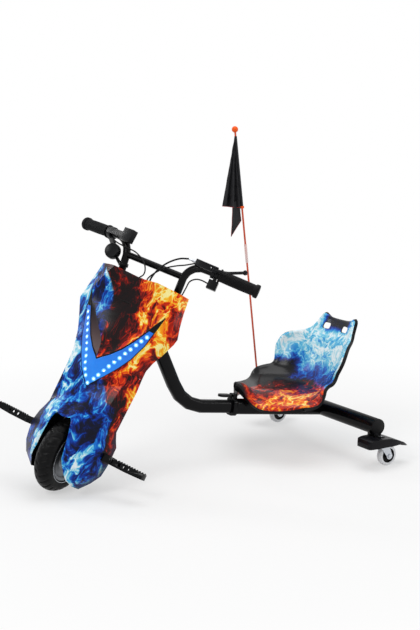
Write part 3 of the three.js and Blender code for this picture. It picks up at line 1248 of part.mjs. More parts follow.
// Adds a turned-down flange round the surface, then gives it thickness along its normals.
function sheetBody(rows, offsetOf) {
  const upper = rows.map((row, i) => row.map((corner, j) => corner.clone().add(offsetOf(i, j))));
  const [h, w] = [rows.length, rows[0].length];
  const vertices = [...rows.flat(), ...upper.flat()];
  const index = [];
  const quad = (a, b, c, d) => index.push(a, b, c, a, c, d);
  const [low, high] = [(i, j) => i * w + j, (i, j) => h * w + i * w + j];
  for (let i = 0; i + 1 < h; i += 1) {
    for (let j = 0; j + 1 < w; j += 1) {
      quad(low(i, j), low(i + 1, j), low(i + 1, j + 1), low(i, j + 1));
      quad(high(i, j), high(i, j + 1), high(i + 1, j + 1), high(i + 1, j));
    }
  }
  for (let i = 0; i + 1 < h; i += 1) {
    quad(low(i, 0), high(i, 0), high(i + 1, 0), low(i + 1, 0));
    quad(low(i, w - 1), low(i + 1, w - 1), high(i + 1, w - 1), high(i, w - 1));
  }
  for (let j = 0; j + 1 < w; j += 1) {
    quad(low(0, j), low(0, j + 1), high(0, j + 1), high(0, j));
    quad(low(h - 1, j), high(h - 1, j), high(h - 1, j + 1), low(h - 1, j + 1));
  }
  const geometry = new THREE.BufferGeometry().setFromPoints(vertices);
  geometry.setIndex(index);
  return geometry;
}

// Adds the turned-down edge round the surface, deepest at the front of the ridge.
function withFlange(rows) {
  const normals = rowNormals(rows);
  const [lastRow, lastColumn] = [rows.length - 1, rows[0].length - 1];
  const away = (a, b) => a.clone().sub(b).normalize().multiplyScalar(seat.flange);
  const flanged = [];
  for (let i = -1; i <= lastRow + 1; i += 1) {
    const ii = Math.min(Math.max(i, 0), lastRow);
    const row = [];
    for (let j = -1; j <= lastColumn + 1; j += 1) {
      const jj = Math.min(Math.max(j, 0), lastColumn);
      const corner = rows[ii][jj];
      const spot = corner.clone();
      if (i < 0) spot.add(away(corner, rows[1][jj]));
      if (i > lastRow) spot.add(away(corner, rows[lastRow - 1][jj]));
      if (j < 0) spot.add(away(corner, rows[ii][1]));
      if (j > lastColumn) spot.add(away(corner, rows[ii][lastColumn - 1]));
      const side = corner.x / (ridgeShare * seat.halfWidth);
      const lip = i < 0 ? seat.lipDrop * Math.exp(-(side ** 2)) : 0;
      if (i !== ii || j !== jj) spot.addScaledVector(normals[ii][jj], -seat.flangeDrop - lip);
      row.push(spot);
    }
    flanged.push(row);
  }
  return flanged;
}

const handleHole = { side: 45, up: 372, half: 16, high: 9 };
const cornerShare = 0.8;

function seatShell() {
  const rows = withFlange(seatSurface());
  const normals = rowNormals(rows);
  const body = sheetBody(rows, (i, j) => normals[i][j].clone().multiplyScalar(seat.thick));
  const { side, up, half, high } = handleHole;
  const outline = roundedRectangle(2 * half, 2 * high, high * cornerShare);
  const front = wheelbaseToBeam - seatReach.length / 2;
  const back = wheelbaseToBeam + seatReach.length;
  return cut(body, ...[-1, 1].map((end) => pushedBackward(outline, front, back).translate(end * side, 0, up)));
}

// Everything above the seat's underside, less a gap, to shape what carries the seat.
function aboveSeat() {
  return sheetBody(withFlange(seatSurface())
    .map((row) => row.map((corner) => corner.clone().add(point(0, 0, -seatGap)))),
    () => point(0, 0, seatReach.height));
}

const spineTopAt = (behind) => beamHeight + (wheelbaseToBeam - behind) * Math.tan(spineSlope)
  + sleeveDepth / 2 / Math.cos(spineSlope);

function seatBracket(behind) {
  const floor = spineTopAt(behind - bracket.length / 2);
  const roof = floor + seatReach.height / 3;
  const half = bracket.length / 2;
  const block = box(-bracket.half, bracket.half, behind - half, behind + half, floor - sleeveDepth, roof);
  const ends = [-1, 1].map((side) => {
    const [from, to] = side > 0 ? [sleeveWidth, bracket.half + overrun] : [-bracket.half - overrun,
      -sleeveWidth];
    return box(from, to, behind - half - overrun, behind + half + overrun, floor - 2 * sleeveDepth,
      floor + bracket.wall);
  });
  const under = box(-sleeveWidth - overrun, sleeveWidth + overrun, -bracket.length, bracket.length,
    -2 * sleeveDepth, sleeveDepth / 2 + seatGap)
    .rotateX(-spineSlope).translate(0, behind,
    floor - sleeveDepth / 2 / Math.cos(spineSlope) - half * Math.tan(spineSlope));
  return cut(block, ...ends, under, aboveSeat());
}

add(chassis, 'seat_shell', seatShell(), icePrint);
add(chassis, 'seat_bracket_front', seatBracket(bracket.frontBehind), blackSteel);
add(chassis, 'seat_bracket_rear', seatBracket(bracket.rearBehind), blackSteel);

// Flag pole, its socket and the pennant

const poleFoot = { behind: 806, up: 165 };
const poleGroup = new THREE.Group();
poleGroup.position.set(-pole.side, poleFoot.behind, poleFoot.up);
poleGroup.rotation.x = pole.lean;
chassis.add(poleGroup);

const socketSize = { height: 44, barHigh: 8, barHalf: 11, floor: 4 };

function flagSocket() {
  const cup = cut(turned(rodProfile(pole.socketRadius, -socketSize.floor, socketSize.height), round),
    turned(rodProfile(pole.radius + seatGap, 0, socketSize.height + overrun), small));
  const tilt = cup.rotateX(pole.lean);
  const inner = pole.side - bracket.half - seatGap;
  const barFloor = -socketSize.floor;
  const arm = box(0, inner, -socketSize.barHalf, socketSize.barHalf, barFloor, barFloor + socketSize.barHigh);
  const well = turned(rodProfile(pole.radius + seatGap, 0, socketSize.height), small).rotateX(pole.lean);
  return cut(join(tilt, arm), well).translate(-pole.side, poleFoot.behind, poleFoot.up);
}

const ferrule = { from: 408, to: 468, radius: 4.5 };

add(chassis, 'flag_socket', flagSocket(), blackSteel);
add(poleGroup, 'pole_lower', turned(rodProfile(pole.radius, seatGap,
  (ferrule.from + ferrule.to) / 2 - seatGap), small), poleRed);
add(poleGroup, 'pole_upper', turned(rodProfile(pole.radius, (ferrule.from + ferrule.to) / 2 + seatGap,
  pole.length), small), poleRed);
add(poleGroup, 'pole_ferrule', turned(ringProfile(pole.radius + seatGap, ferrule.radius, ferrule.from,
  ferrule.to), small), clearSleeve);

function poleBall() {
  const centre = pole.length + pole.ballRadius - pole.radius;
  const ball = new THREE.SphereGeometry(pole.ballRadius, 14, 8).rotateX(Math.PI / 2).translate(0, 0, centre);
  return cut(ball, turned(rodProfile(pole.radius + seatGap, 0, pole.length + seatGap), small));
}

add(poleGroup, 'pole_ball', poleBall(), poleRed);

// The pennant hangs in folds from a hem round the pole. Each section gives its distance below the top
// as a share of the drop, where it starts and ends beside the pole as shares of the reach, and the
// depth of its folds as a share of the reach.
const flagShares = [
  [0.000, 0.00, 0.10, 0.00], [0.160, 0.00, 0.30, 0.03], [0.330, 0.00, 0.52, 0.06], [0.500, 0.00, 0.75, 0.09],
  [0.620, 0.00, 0.90, 0.11], [0.664, 0.00, 0.96, 0.12], [0.690, 0.00, 0.72, 0.11], [0.712, 0.00, 0.42, 0.09],
  [0.780, 0.04, 0.42, 0.07], [0.860, 0.10, 0.48, 0.05], [0.930, 0.28, 0.52, 0.03], [1.000, 0.50, 0.56, 0.01],
];
const flagFolds = 2.5;
const flagPoints = 16;

function pennant() {
  const top = pole.length - pole.ballRadius;
  const half = flag.thick / 2;
  const start = pole.radius + seatGap + half;
  const loops = flagShares.map(([down, from, to, depth]) => {
    const line = [];
    for (let i = 0; i <= flagPoints; i += 1) {
      const share = from + (to - from) * i / flagPoints;
      const wave = Math.sin(i / flagPoints * flagFolds * 2 * Math.PI) * depth * flag.reach;
      line.push(point(wave, -start - share * flag.reach, top - down * flag.drop));
    }
    const sides = line.map((spot, i) => {
      const next = line[Math.min(i + 1, flagPoints)];
      const last = line[Math.max(i - 1, 0)];
      const side = point(-(next.y - last.y), next.x - last.x, 0).normalize();
      return [spot.clone().addScaledVector(side, half), spot.clone().addScaledVector(side, -half)];
    });
    return [...sides.map(([front]) => front), ...sides.map(([, back]) => back).reverse()];
  });
  const hem = turned(ringProfile(pole.radius + seatGap, pole.radius + seatGap + flag.thick,
    top - flag.hoist, top), small);
  const well = turned(rodProfile(pole.radius + seatGap, 0, 2 * top), small);
  return join(cut(loft(loops), well), hem);
}

add(poleGroup, 'flag', pennant(), flagBlack);

trike.updateMatrixWorld(true);

export default trike;
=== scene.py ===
# The looks of an electric drift trike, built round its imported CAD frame.
# Local sizes are in millimetres. Every mesh is stored in metres, in the part's own frame.

import json
import math

import bmesh
import bpy
from mathutils import Matrix, Vector, noise
from mathutils.bvhtree import BVHTree


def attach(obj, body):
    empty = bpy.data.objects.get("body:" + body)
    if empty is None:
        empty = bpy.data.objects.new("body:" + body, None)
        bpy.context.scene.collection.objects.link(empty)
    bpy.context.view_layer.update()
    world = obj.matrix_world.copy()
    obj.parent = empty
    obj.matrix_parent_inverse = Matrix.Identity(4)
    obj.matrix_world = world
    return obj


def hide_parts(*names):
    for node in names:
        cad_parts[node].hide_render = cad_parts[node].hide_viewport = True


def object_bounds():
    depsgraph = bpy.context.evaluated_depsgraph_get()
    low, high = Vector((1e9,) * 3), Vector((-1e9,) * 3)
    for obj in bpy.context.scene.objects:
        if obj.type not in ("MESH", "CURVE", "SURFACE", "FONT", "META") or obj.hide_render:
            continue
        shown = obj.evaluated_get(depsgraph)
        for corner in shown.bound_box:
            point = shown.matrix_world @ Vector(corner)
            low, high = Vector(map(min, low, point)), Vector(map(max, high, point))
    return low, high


MM = 0.001

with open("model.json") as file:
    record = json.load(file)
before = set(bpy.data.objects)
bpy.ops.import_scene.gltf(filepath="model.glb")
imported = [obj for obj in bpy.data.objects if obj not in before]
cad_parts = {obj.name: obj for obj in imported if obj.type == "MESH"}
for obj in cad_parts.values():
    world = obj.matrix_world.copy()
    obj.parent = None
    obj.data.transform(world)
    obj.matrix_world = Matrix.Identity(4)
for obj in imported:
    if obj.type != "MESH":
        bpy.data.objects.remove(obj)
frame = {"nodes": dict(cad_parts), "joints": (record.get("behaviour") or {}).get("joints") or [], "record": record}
cad_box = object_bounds()
nodes = frame["nodes"]
record = frame["record"]
joints = {joint["name"]: joint for joint in frame["joints"]}
body_of = {name: body for body, names in record["behaviour"]["bodies"].items() for name in names}


# Camera, at the photograph's place

CAMERA_PLACE = (2.83924, -1.71964, 1.05783)
CAMERA_AZIMUTH = 58.351
CAMERA_ELEVATION = 10.211
CAMERA_LENS = 65.74
CAMERA_SENSOR = 36
CAMERA_REACH = 60


def add_camera():
    data = bpy.data.cameras.new("camera")
    data.lens = CAMERA_LENS
    data.sensor_width = CAMERA_SENSOR
    data.clip_end = CAMERA_REACH
    camera = bpy.data.objects.new("camera", data)
    camera.location = CAMERA_PLACE
    camera.rotation_euler = (math.radians(90 - CAMERA_ELEVATION), 0, math.radians(CAMERA_AZIMUTH))
    bpy.context.scene.collection.objects.link(camera)
    bpy.context.scene.camera = camera


add_camera()


# Places

def placement(origin, x, y, z, unit=MM):
    """Maps local millimetres to metres in the part's frame."""
    columns = [(*(Vector(axis) * unit), 0) for axis in (x, y, z)]
    return Matrix(columns + [(*origin, 1)]).transposed()


def within(place, *inner):
    """A placement inside another one, with its origin in the outer one's millimetres."""
    return place @ placement(*inner, unit=1)


steer_up = Vector(joints["steer"]["axis"]).normalized()
steer_left = Vector(joints["front_wheel_spin"]["axis"]).normalized()
steer_back = steer_up.cross(steer_left)
steer_origin = Vector(joints["steer"]["pos_m"])
wheel_centre = Vector(joints["front_wheel_spin"]["pos_m"])
GROUND = placement((0, 0, 0), (1, 0, 0), (0, 1, 0), (0, 0, 1))
STEER = placement(steer_origin, steer_left, steer_back, steer_up)
WHEEL = placement(wheel_centre, steer_left, steer_back, steer_up)
TO_STEER = STEER.inverted()
# Rays start this far ahead of the steering axis, in front of the fairing.
AHEAD = -200
# From the steering axis at axle height back to the part's origin.
FOOTPRINT_MIDDLE = 462

# The corners of an arm's centre line, from its foot to its end.
BAR = {"corners": [(97, 25, 533), (102, -1, 640), (168, 12, 640), (303, 61, 645)], "bends": (52, 40),
       "radius": 11, "cross_up": 597, "cross_share": 0.584139, "cross_radius": 9.5, "sides": 28}


def bar_corners(side):
    return [Vector((side * x, y, z)) for x, y, z in BAR["corners"]]


def bar_place(side):
    """A placement at an arm's shoulder, with X along the arm and Z up."""
    start, end = bar_corners(side)[-2:]
    along = (end - start).normalized()
    up = (Vector((0, 0, 1)) - along * along.z).normalized()
    return within(STEER, start, along, up.cross(along), up)


LEFT_BAR = bar_place(1)
RIGHT_BAR = bar_place(-1)


# Shader trees

def srgb(*values):
    """Linear colour of an sRGB triple given from 0 to 255."""
    parts = [value / 255 for value in values]
    return (*[c / 12.92 if c <= 0.04045 else ((c + 0.055) / 1.055) ** 2.4 for c in parts], 1)


def shifted(colour, change):
    """Linear colour of an sRGB triple, some steps darker or lighter."""
    return srgb(*[min(max(c + change, 0), 255) for c in colour])


def formula(operation):
    return lambda self, other: self.tree.math(operation, self, other)


class Value:
    """A number, vector, colour or shader on its way through a tree."""

    def __init__(self, tree, socket):
        self.tree = tree
        self.socket = socket

    def __rsub__(self, other):
        return self.tree.math("SUBTRACT", other, self)

    __add__ = formula("ADD")
    __sub__ = formula("SUBTRACT")
    __mul__ = formula("MULTIPLY")
    __truediv__ = formula("DIVIDE")


class Tree:
    """An emptied shader tree with helpers that add its nodes in formula style."""

    def __init__(self, owner):
        owner.use_nodes = True
        self.nodes = owner.node_tree.nodes
        self.links = owner.node_tree.links
        self.nodes.clear()

    def add(self, kind, inputs=(), output=0, **settings):
        """A new node with its settings and inputs, as the value of one of its outputs."""
        node = self.nodes.new("ShaderNode" + kind)
        for key, value in settings.items():
            setattr(node, key, value)
        for key, value in inputs.items() if isinstance(inputs, dict) else enumerate(inputs):
            self.put(value, node.inputs[key])
        return Value(self, node.outputs[output])

    def put(self, value, socket):
        if isinstance(value, Value):
            self.links.new(value.socket, socket)
        elif hasattr(socket.default_value, "__len__") and not hasattr(value, "__len__"):
            socket.default_value = [value] * len(socket.default_value)
        else:
            socket.default_value = value

    def end(self, kind, surface):
        self.put(surface, self.nodes.new("ShaderNodeOutput" + kind).inputs["Surface"])

    def place(self):
        return self.add("TexCoord", output="Object")

    def rays(self):
        kinds = ("Camera", "Glossy", "Transmission")
        return [self.add("LightPath", output=f"Is {kind} Ray") for kind in kinds]

    def math(self, operation, a, b=0.0, c=0.0, clamp=False):
        return self.add("Math", (a, b, c), operation=operation, use_clamp=clamp)

    def vector(self, operation, a, b=(0, 0, 0), scale=None):
        inputs = {0: a, 1: b} if scale is None else {0: a, "Scale": scale}
        output = "Value" if operation in ("DOT_PRODUCT", "LENGTH") else "Vector"
        return self.add("VectorMath", inputs, output, operation=operation)

    def axes(self, place=GROUND):
        """The three coordinates of the surface point along a placement's axes, in metres."""
        offset = self.vector("SUBTRACT", self.place(), tuple(place.translation))
        return [self.vector("DOT_PRODUCT", offset, tuple(place.col[i].xyz.normalized())) for i in range(3)]

    def noise(self, vector, scale, detail=3.0, roughness=0.5, output=0):
        return self.add("TexNoise", {"Vector": vector, "Scale": scale, "Detail": detail,
                                     "Roughness": roughness}, output)

    def step(self, value, low, high, start=0.0, end=1.0):
        """From start to end with a soft edge, as the value goes from low to high."""
        return self.add("MapRange", {"Value": value, "From Min": low, "From Max": high, "To Min": start,
                                     "To Max": end}, interpolation_type="SMOOTHSTEP")

    def curve(self, value, points):
        """A smooth curve through points, each (in, out), with both from 0 to 1."""
        out = self.add("FloatCurve", {"Value": value})
        mapping = out.socket.node.mapping
        curve = mapping.curves[0]
        while len(curve.points) < len(points):
            curve.points.new(0.5, 0.5)
        for spot, location in zip(curve.points, points):
            spot.location = location
        mapping.update()
        return out

    def ramp(self, value, colours):
        out = self.add("ValToRGB", (value,))
        elements = out.socket.node.color_ramp.elements
        while len(elements) < len(STOPS):
            elements.new(0.5)
        for element, at, colour in zip(elements, STOPS, colours):
            element.position = at
            element.color = srgb(*colour)
        return out

    def mix(self, factor, a, b):
        return self.add("Mix", {0: factor, 6: a, 7: b}, 2, data_type="RGBA")


class Surface(Tree):
    """A material of one Principled shader."""

    def __init__(self, name, **settings):
        self.material = bpy.data.materials.new(name)
        super().__init__(self.material)
        shader = self.add("BsdfPrincipled")
        self.inputs = shader.socket.node.inputs
        self.end("Material", shader)
        for key, value in settings.items():
            self.set(key, value)

    def set(self, key, value):
        self.put(value, self.inputs[key.replace("_", " ").title().replace("Ior", "IOR")])

    def shine(self, colour, strength):
        self.set("base_color", colour)
        self.set("emission_color", colour)
        self.set("emission_strength", strength)

    def bump(self, height, distance):
        self.put(self.add("Bump", {"Height": height, "Distance": distance * MM, "Strength": 1.0}),
                 self.inputs["Normal"])


# Materials

# Each finish: specular level, noise of the drift, darker and lighter steps of its colour, the drift's edges
# and the roughness below and above its middle, noise of the grain.
FINISHES = {
    "coated": (0.12, (60, 4), (-3, 4), (0.2, 0.8), (0.05, 0.08), (900, 2)),
    "moulded": (0.14, (35, 5), (-5, 7), (0.25, 0.75), (0.07, 0.09), (2200, 3)),
    "rubber": (0.11, (70, 6, 0.65), (0, 16), (0.3, 0.8), (0.08, 0.14), (1500, 4)),
    "plated": (0.5, (220, 3), (-22, 0), (0.2, 0.8), (0.08, 0.1), (1300, 2)),
}
DUST_EDGES = (0.45, 0.8)


def finished(name, finish, colour, roughness, height):
    specular, drift_noise, (darker, lighter), edges, (below, above), grain = FINISHES[finish]
    g = Surface(name, specular_ior_level=specular, metallic=1.0 if finish == "plated" else 0.0)
    drift = g.noise(g.place(), *drift_noise)
    share = g.step(drift, *DUST_EDGES) if finish == "rubber" else drift
    g.set("base_color", g.mix(share, shifted(colour, darker), shifted(colour, lighter)))
    g.set("roughness", g.step(drift, *edges, roughness - below, roughness + above))
    g.bump(g.noise(g.place(), *grain), height)
    return g.material


def woven(name, colour, threads=2600):
    g = Surface(name, roughness=0.6, specular_ior_level=0.3)
    x, y, z = g.axes()
    warp = g.math("SINE", (x + y) * threads)
    weft = g.math("SINE", z * threads)
    worn = g.noise(g.place(), 45, 4)
    g.set("base_color", g.mix(worn, shifted(colour, -6), shifted(colour, 10)))
    g.bump(warp * weft, 0.08)
    return g.material


def milky():
    g = Surface("milky_tyre", roughness=0.3, coat_weight=0.3)
    cloud = g.noise(g.place(), 60, 4)
    g.set("base_color", g.mix(cloud, srgb(214, 216, 220), srgb(242, 243, 245)))
    return g.material


def pale_sleeve(low=0.56, high=0.64):
    """Clear plastic over the red pole, redder towards its upper end."""
    g = Surface("pale_sleeve", roughness=0.3, coat_weight=0.4)
    z = g.axes()[2]
    g.set("base_color", g.mix(g.step(z, low, high), srgb(232, 206, 202), srgb(222, 178, 172)))
    return g.material


def glowing(name, dim, bright, strength):
    g = Surface(name, roughness=0.3)
    g.shine(g.mix(g.noise(g.place(), 400, 1), srgb(*dim), srgb(*bright)), strength)
    return g.material


def lens_blue(low=0.2, high=0.42):
    """The lamp's lens, deeper blue towards its tips."""
    g = Surface("lens_blue", roughness=0.12, specular_ior_level=0.4)
    up = g.axes(STEER)[2]
    cloud = g.step(g.noise(g.place(), 30, 2), 0.2, 0.8, 0.0, 0.2)
    g.shine(g.mix(g.step(up, low, high) * 0.6 + cloud, srgb(24, 132, 232), srgb(14, 76, 190)), 0.3)
    return g.material


# The colours of the flames, from cold to hot, and their places on the ramp.
STOPS = (0.0, 0.16, 0.3, 0.44, 0.58, 0.72, 0.86, 1.0)
FIRE = [(7, 4, 6), (26, 5, 7), (110, 12, 8), (206, 40, 12), (240, 92, 16), (250, 158, 24), (253, 212, 62),
        (254, 240, 158)]
ICE = [(5, 7, 14), (8, 16, 52), (10, 46, 144), (16, 102, 206), (60, 168, 222), (122, 206, 232),
       (184, 226, 238), (230, 243, 248)]
# Each push is the scale of a noise and how far it bends the flames, in metres.
FLAME_PUSHES = [(15, 0.07), (40, 0.026)]
FILL_NOISE, FILL_EDGES = (19, 3, 0.55), (0.38, 0.64)
# Each kind of filament is its noise's scale and the sharpness of its lines.
FILAMENTS = [(30, 13.0), (66, 8.0)]


def flame_layers(g, *spot):
    """Fill and two kinds of filament of drawn-out flames, as fields from 0 to 1."""
    spot = g.add("CombineXYZ", spot)
    for scale, reach in FLAME_PUSHES:
        push = g.vector("SUBTRACT", g.noise(spot, scale, 2, output="Color"), (0.5, 0.5, 0.5))
        spot = g.vector("ADD", spot, g.vector("SCALE", push, scale=reach))
    fill = g.step(g.noise(spot, *FILL_NOISE), *FILL_EDGES)
    lines = []
    for scale, sharpness in FILAMENTS:
        off_middle = g.math("ABSOLUTE", g.noise(spot, scale, 2, 0.45) * 2.0 - 1.0)
        lines.append(g.math("POWER", 1.0 - off_middle, sharpness, clamp=True))
    return fill, *lines


def glow(g, level, layers, ground, thread_weight=0.62, fine_weight=0.48):
    """The flame's heat, where the filaments are strongest in the filled parts."""
    fill, thread, fine = layers
    lit = fill * (1 - ground) + ground
    lines = (thread * thread_weight + fine * fine_weight) * (lit * 0.7 + 0.3) * (level * 0.8 + 0.3)
    return level * lit + lines


# Each pair is a share of the print's height and a share of a reach to the side: where ice turns to fire,
# then the two sides of the plain facet.
PRINT_FOOT, PRINT_HEIGHT = -0.06, 0.604
BORDER_HALF = 0.16
BORDER_SHARES = [
    (0.0, 1.0), (0.15, 1.0), (0.25, 0.96), (0.34, 0.88), (0.43, 0.74), (0.51, 0.62), (0.58, 0.48),
    (0.695, 0.4), (0.811, 0.37), (0.894, 0.3), (1.0, 0.1),
]
FACET_REACH = 0.15
FACET_INNER_SHARES = [(0.57, 0.02), (0.616, 0.07), (0.662, 0.16), (0.72, 0.36), (0.781, 0.56), (0.85, 0.72)]
FACET_OUTER_SHARES = [(0.57, 0.12), (0.616, 0.2), (0.662, 0.37), (0.72, 0.53), (0.781, 0.66), (0.85, 0.78)]


def printed_fairing():
    g = Surface("fairing_print", roughness=0.25, specular_ior_level=0.16)
    left, back, up = g.axes(STEER)
    layers = flame_layers(g, left, up * 0.62, back)
    height = (up - PRINT_FOOT) / PRINT_HEIGHT
    border = g.curve(height, BORDER_SHARES) * (2 * BORDER_HALF) - BORDER_HALF
    side = (left - border + (g.noise(g.place(), 13, 3) - 0.5) * 0.09
            + g.step(back, -0.012, 0.012) * g.step(left, 0.0, 0.05) * g.step(up, 0.02, 0.07) * 0.16)
    heat = (g.step(side, 0.0, 0.14) * 0.26 + g.step(left, 0.04, 0.13) * g.step(up, 0.16, 0.3) * 0.24
            + g.step(up, 0.2, 0.3) * 0.08 - g.step(up, 0.38, 0.47) * g.step(left, 0.06, 0.0) * 0.16
            - g.step(up, 0.2, 0.1) * 0.14 + 0.14)
    fire = g.ramp(glow(g, heat - 0.04, layers, 0.18, 0.62, 0.54), FIRE)
    cold = (g.step(left, 0.02, -0.09) * 0.43 + g.step(left, 0.01, -0.05) * g.step(up, 0.3, 0.2) * 0.1
            + g.step(up, 0.1, -0.02) * g.step(left, -0.08, 0.0) * 0.42
            - g.step(up, 0.3, 0.36) * g.step(left, -0.13, -0.07) * 0.3
            - g.step(left, -0.06, -0.095) * g.step(up, 0.13, 0.06) * 0.62
            - g.step(back, 0.0, 0.05) * 0.34 + 0.26)
    ice = g.ramp(glow(g, cold, layers, 0.12, 0.66, 0.46), ICE)
    print_colour = g.mix(g.step(side, -0.004, 0.008), ice, fire)
    cover = g.step(back, 0.006, 0.026) * g.step(up, 0.24, 0.12) * g.step(left, 0.0, 0.03) * 0.85
    print_colour = g.mix(cover, print_colour, srgb(54, 46, 62))
    # The recessed facet beside the lamp's right arm stays plain grey.
    inner = g.curve(height, FACET_INNER_SHARES) * FACET_REACH
    outer = g.curve(height, FACET_OUTER_SHARES) * FACET_REACH
    away = left * -1.0
    facet = (g.step(away - inner, 0.0, 0.002) * g.step(outer - away, -0.002, 0.0)
             * g.step(up, 0.292, 0.3) * g.step(up, 0.43, 0.424))
    grey = g.mix(g.step(up, 0.29, 0.43), srgb(96, 78, 78), srgb(22, 20, 28))
    g.set("base_color", g.mix(facet, print_colour, grey))
    return g.material


def printed_seat():
    g = Surface("seat_print", roughness=0.22, specular_ior_level=0.26)
    x, y, z = g.axes()
    layers = flame_layers(g, x * 0.9 + y * 0.5, z * 0.8 + y * 0.4, y * 0.6 - x * 0.5)
    wander = (g.noise(g.place(), 14, 3) - 0.5) * 0.05
    heat = (g.step(x, -0.1, 0.15) * 0.34 - g.step(y, 0.24, 0.38) * g.step(x, 0.14, 0.05) * 0.24
            - g.step(z, 0.24, 0.28) * 0.2 + 0.2)
    fire = g.ramp(glow(g, heat, layers, 0.35), FIRE)
    crown = g.step(z, 0.345, 0.385) * g.step(g.math("ABSOLUTE", x + wander * 0.5), 0.085, 0.045)
    wing = g.step(x + wander, -0.07, -0.12) * g.step(z + wander, 0.28, 0.24)
    high = g.step(z + wander * 0.8, 0.21, 0.3) * 0.56 - crown * 0.8 - wing * 0.5 + 0.2
    ice = g.ramp(glow(g, high, layers, 0.62, 0.44, 0.34), ICE)
    colour = g.mix(g.step(z + wander + y * 0.3, 0.322, 0.336), fire, ice)
    far = g.step(x + wander, -0.085, -0.105) * g.step(z + wander, 0.262, 0.25) * g.step(y, 0.43, 0.38)
    lip = g.step(y + wander * 0.2, 0.15, 0.13) * g.step(x, 0.075, 0.05)
    corner = g.step(y + wander, 0.37, 0.4) * g.step(z, 0.275, 0.255) * g.step(x, 0.09, 0.12)
    dark = g.math("MAXIMUM", g.math("MAXIMUM", far, lip), corner)
    g.set("base_color", g.mix(dark, colour, srgb(9, 9, 12)))
    return g.material


BLACK_STEEL = finished("black_steel", "coated", (9, 9, 11), 0.15, 0.04)
BLACK_PLASTIC = finished("black_plastic", "moulded", (10, 10, 12), 0.42, 0.08)
CONTROL_PLASTIC = finished("control_plastic", "moulded", (11, 12, 15), 0.3, 0.03)
FENDER_PLASTIC = finished("fender_plastic", "moulded", (11, 11, 15), 0.3, 0.05)
TREAD = finished("tread_rubber", "rubber", (9, 9, 10), 0.4, 0.12)
GRIP_RUBBER = finished("grip_rubber", "rubber", (13, 13, 15), 0.55, 0.12)
ZINC = finished("zinc", "plated", (206, 210, 216), 0.26, 0.03)
ALLOY = finished("cast_alloy", "plated", (150, 153, 158), 0.4, 0.03)
PACK = finished("pack_wrap", "moulded", (44, 88, 176), 0.35, 0.08)
POLE_PAINT = finished("pole_paint", "moulded", (208, 82, 52), 0.35, 0.03)
BALL_PLASTIC = finished("ball_plastic", "moulded", (240, 92, 28), 0.4, 0.1)
RED_PLASTIC = finished("red_plastic", "moulded", (196, 30, 24), 0.3, 0.08)
FAIRING_PRINT = printed_fairing()
SEAT_PRINT = printed_seat()
LENS = lens_blue()
DOT = glowing("led_dot", (226, 243, 255), (243, 251, 255), 1.1)
HALO = glowing("led_halo", (88, 172, 246), (118, 194, 254), 0.7)
MILKY = milky()
FLAG_CLOTH = woven("flag_cloth", (12, 12, 16))
FLAG_HEM = woven("flag_hem", (168, 40, 36))
SLEEVE = pale_sleeve()


# Mesh tools

# Vertices closer than this, in metres, are one.
WELD = 1e-6


def linked(name, data):
    thing = bpy.data.objects.new(name, data)
    bpy.context.scene.collection.objects.link(thing)
    return thing


def finish_mesh(name, mesh, materials, body, replaced=(), smooth=35):
    """A piece that rides on a body, shaded smooth up to an angle in degrees."""
    for material in materials:
        mesh.materials.append(material)
    for polygon in mesh.polygons:
        polygon.use_smooth = True
    mesh.set_sharp_from_angle(angle=math.radians(smooth))
    piece = linked(name, mesh)
    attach(piece, body)
    if replaced:
        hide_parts(*replaced)
    return piece


def mesh_of(name, vertices, faces, place=GROUND, marks=()):
    """A welded mesh with its faces pointing out. Marks are its faces' material indices."""
    mesh = bpy.data.meshes.new(name)
    mesh.from_pydata([place @ Vector(v) for v in vertices], [], faces)
    for polygon, mark in zip(mesh.polygons, marks):
        polygon.material_index = mark
    form = bmesh.new()
    form.from_mesh(mesh)
    bmesh.ops.remove_doubles(form, verts=form.verts, dist=WELD)
    bmesh.ops.recalc_face_normals(form, faces=form.faces)
    form.to_mesh(mesh)
    form.free()
    return mesh


def add_piece(name, form, material, body, place=GROUND, replaced=(), smooth=35):
    return finish_mesh(name, mesh_of(name, *form, place), [material], body, replaced, smooth)


def merged(*forms):
    vertices, faces = [], []
    for more_vertices, more_faces in forms:
        base = len(vertices)
        vertices += list(more_vertices)
        faces += [[base + i for i in face] for face in more_faces]
    return vertices, faces


def grid_faces(rows, columns, wrap_rows=False, wrap_columns=False):
    faces = []
    for i in range(rows if wrap_rows else rows - 1):
        here, below = i * columns, (i + 1) % rows * columns
        for j in range(columns if wrap_columns else columns - 1):
            after = (j + 1) % columns
            faces.append([here + j, here + after, below + after, below + j])
    return faces


def sheet_faces(rows, columns):
    """Faces of a closed sheet: its front, its back, and the band round its rim."""
    size = rows * columns
    front = grid_faces(rows, columns)
    back = [[index + size for index in face[::-1]] for face in front]
    ring = list(range(columns)) + [(i + 1) * columns - 1 for i in range(1, rows)]
    ring += list(range(size - 2, size - columns - 1, -1)) + [i * columns for i in range(rows - 2, 0, -1)]
    band = [[b, a, a + size, b + size] for a, b in zip(ring, ring[1:] + ring[:1])]
    return front + back + band


def revolved(profile, sides, closed=False):
    """A profile of (radius, height) turned about local Z."""
    vertices = []
    for i in range(sides):
        turn = math.tau * i / sides
        vertices += [(r * math.cos(turn), r * math.sin(turn), z) for r, z in profile]
    return vertices, grid_faces(sides, len(profile), True, closed)


def shares(count):
    return [i / count for i in range(count + 1)]


def arc(centre, radius, start, stop, steps):
    """Points round a centre, from one angle to another in degrees."""
    turns = [math.radians(start + (stop - start) * share) for share in shares(steps)]
    return [(centre[0] + radius * math.cos(turn), centre[1] + radius * math.sin(turn)) for turn in turns]


def turned_to(form, axis, origin=(0, 0, 0)):
    """The same form with its Z laid along an axis."""
    turn = Vector((0, 0, 1)).rotation_difference(Vector(axis).normalized())
    vertices, faces = form
    return [tuple(turn @ Vector(v) + Vector(origin)) for v in vertices], faces


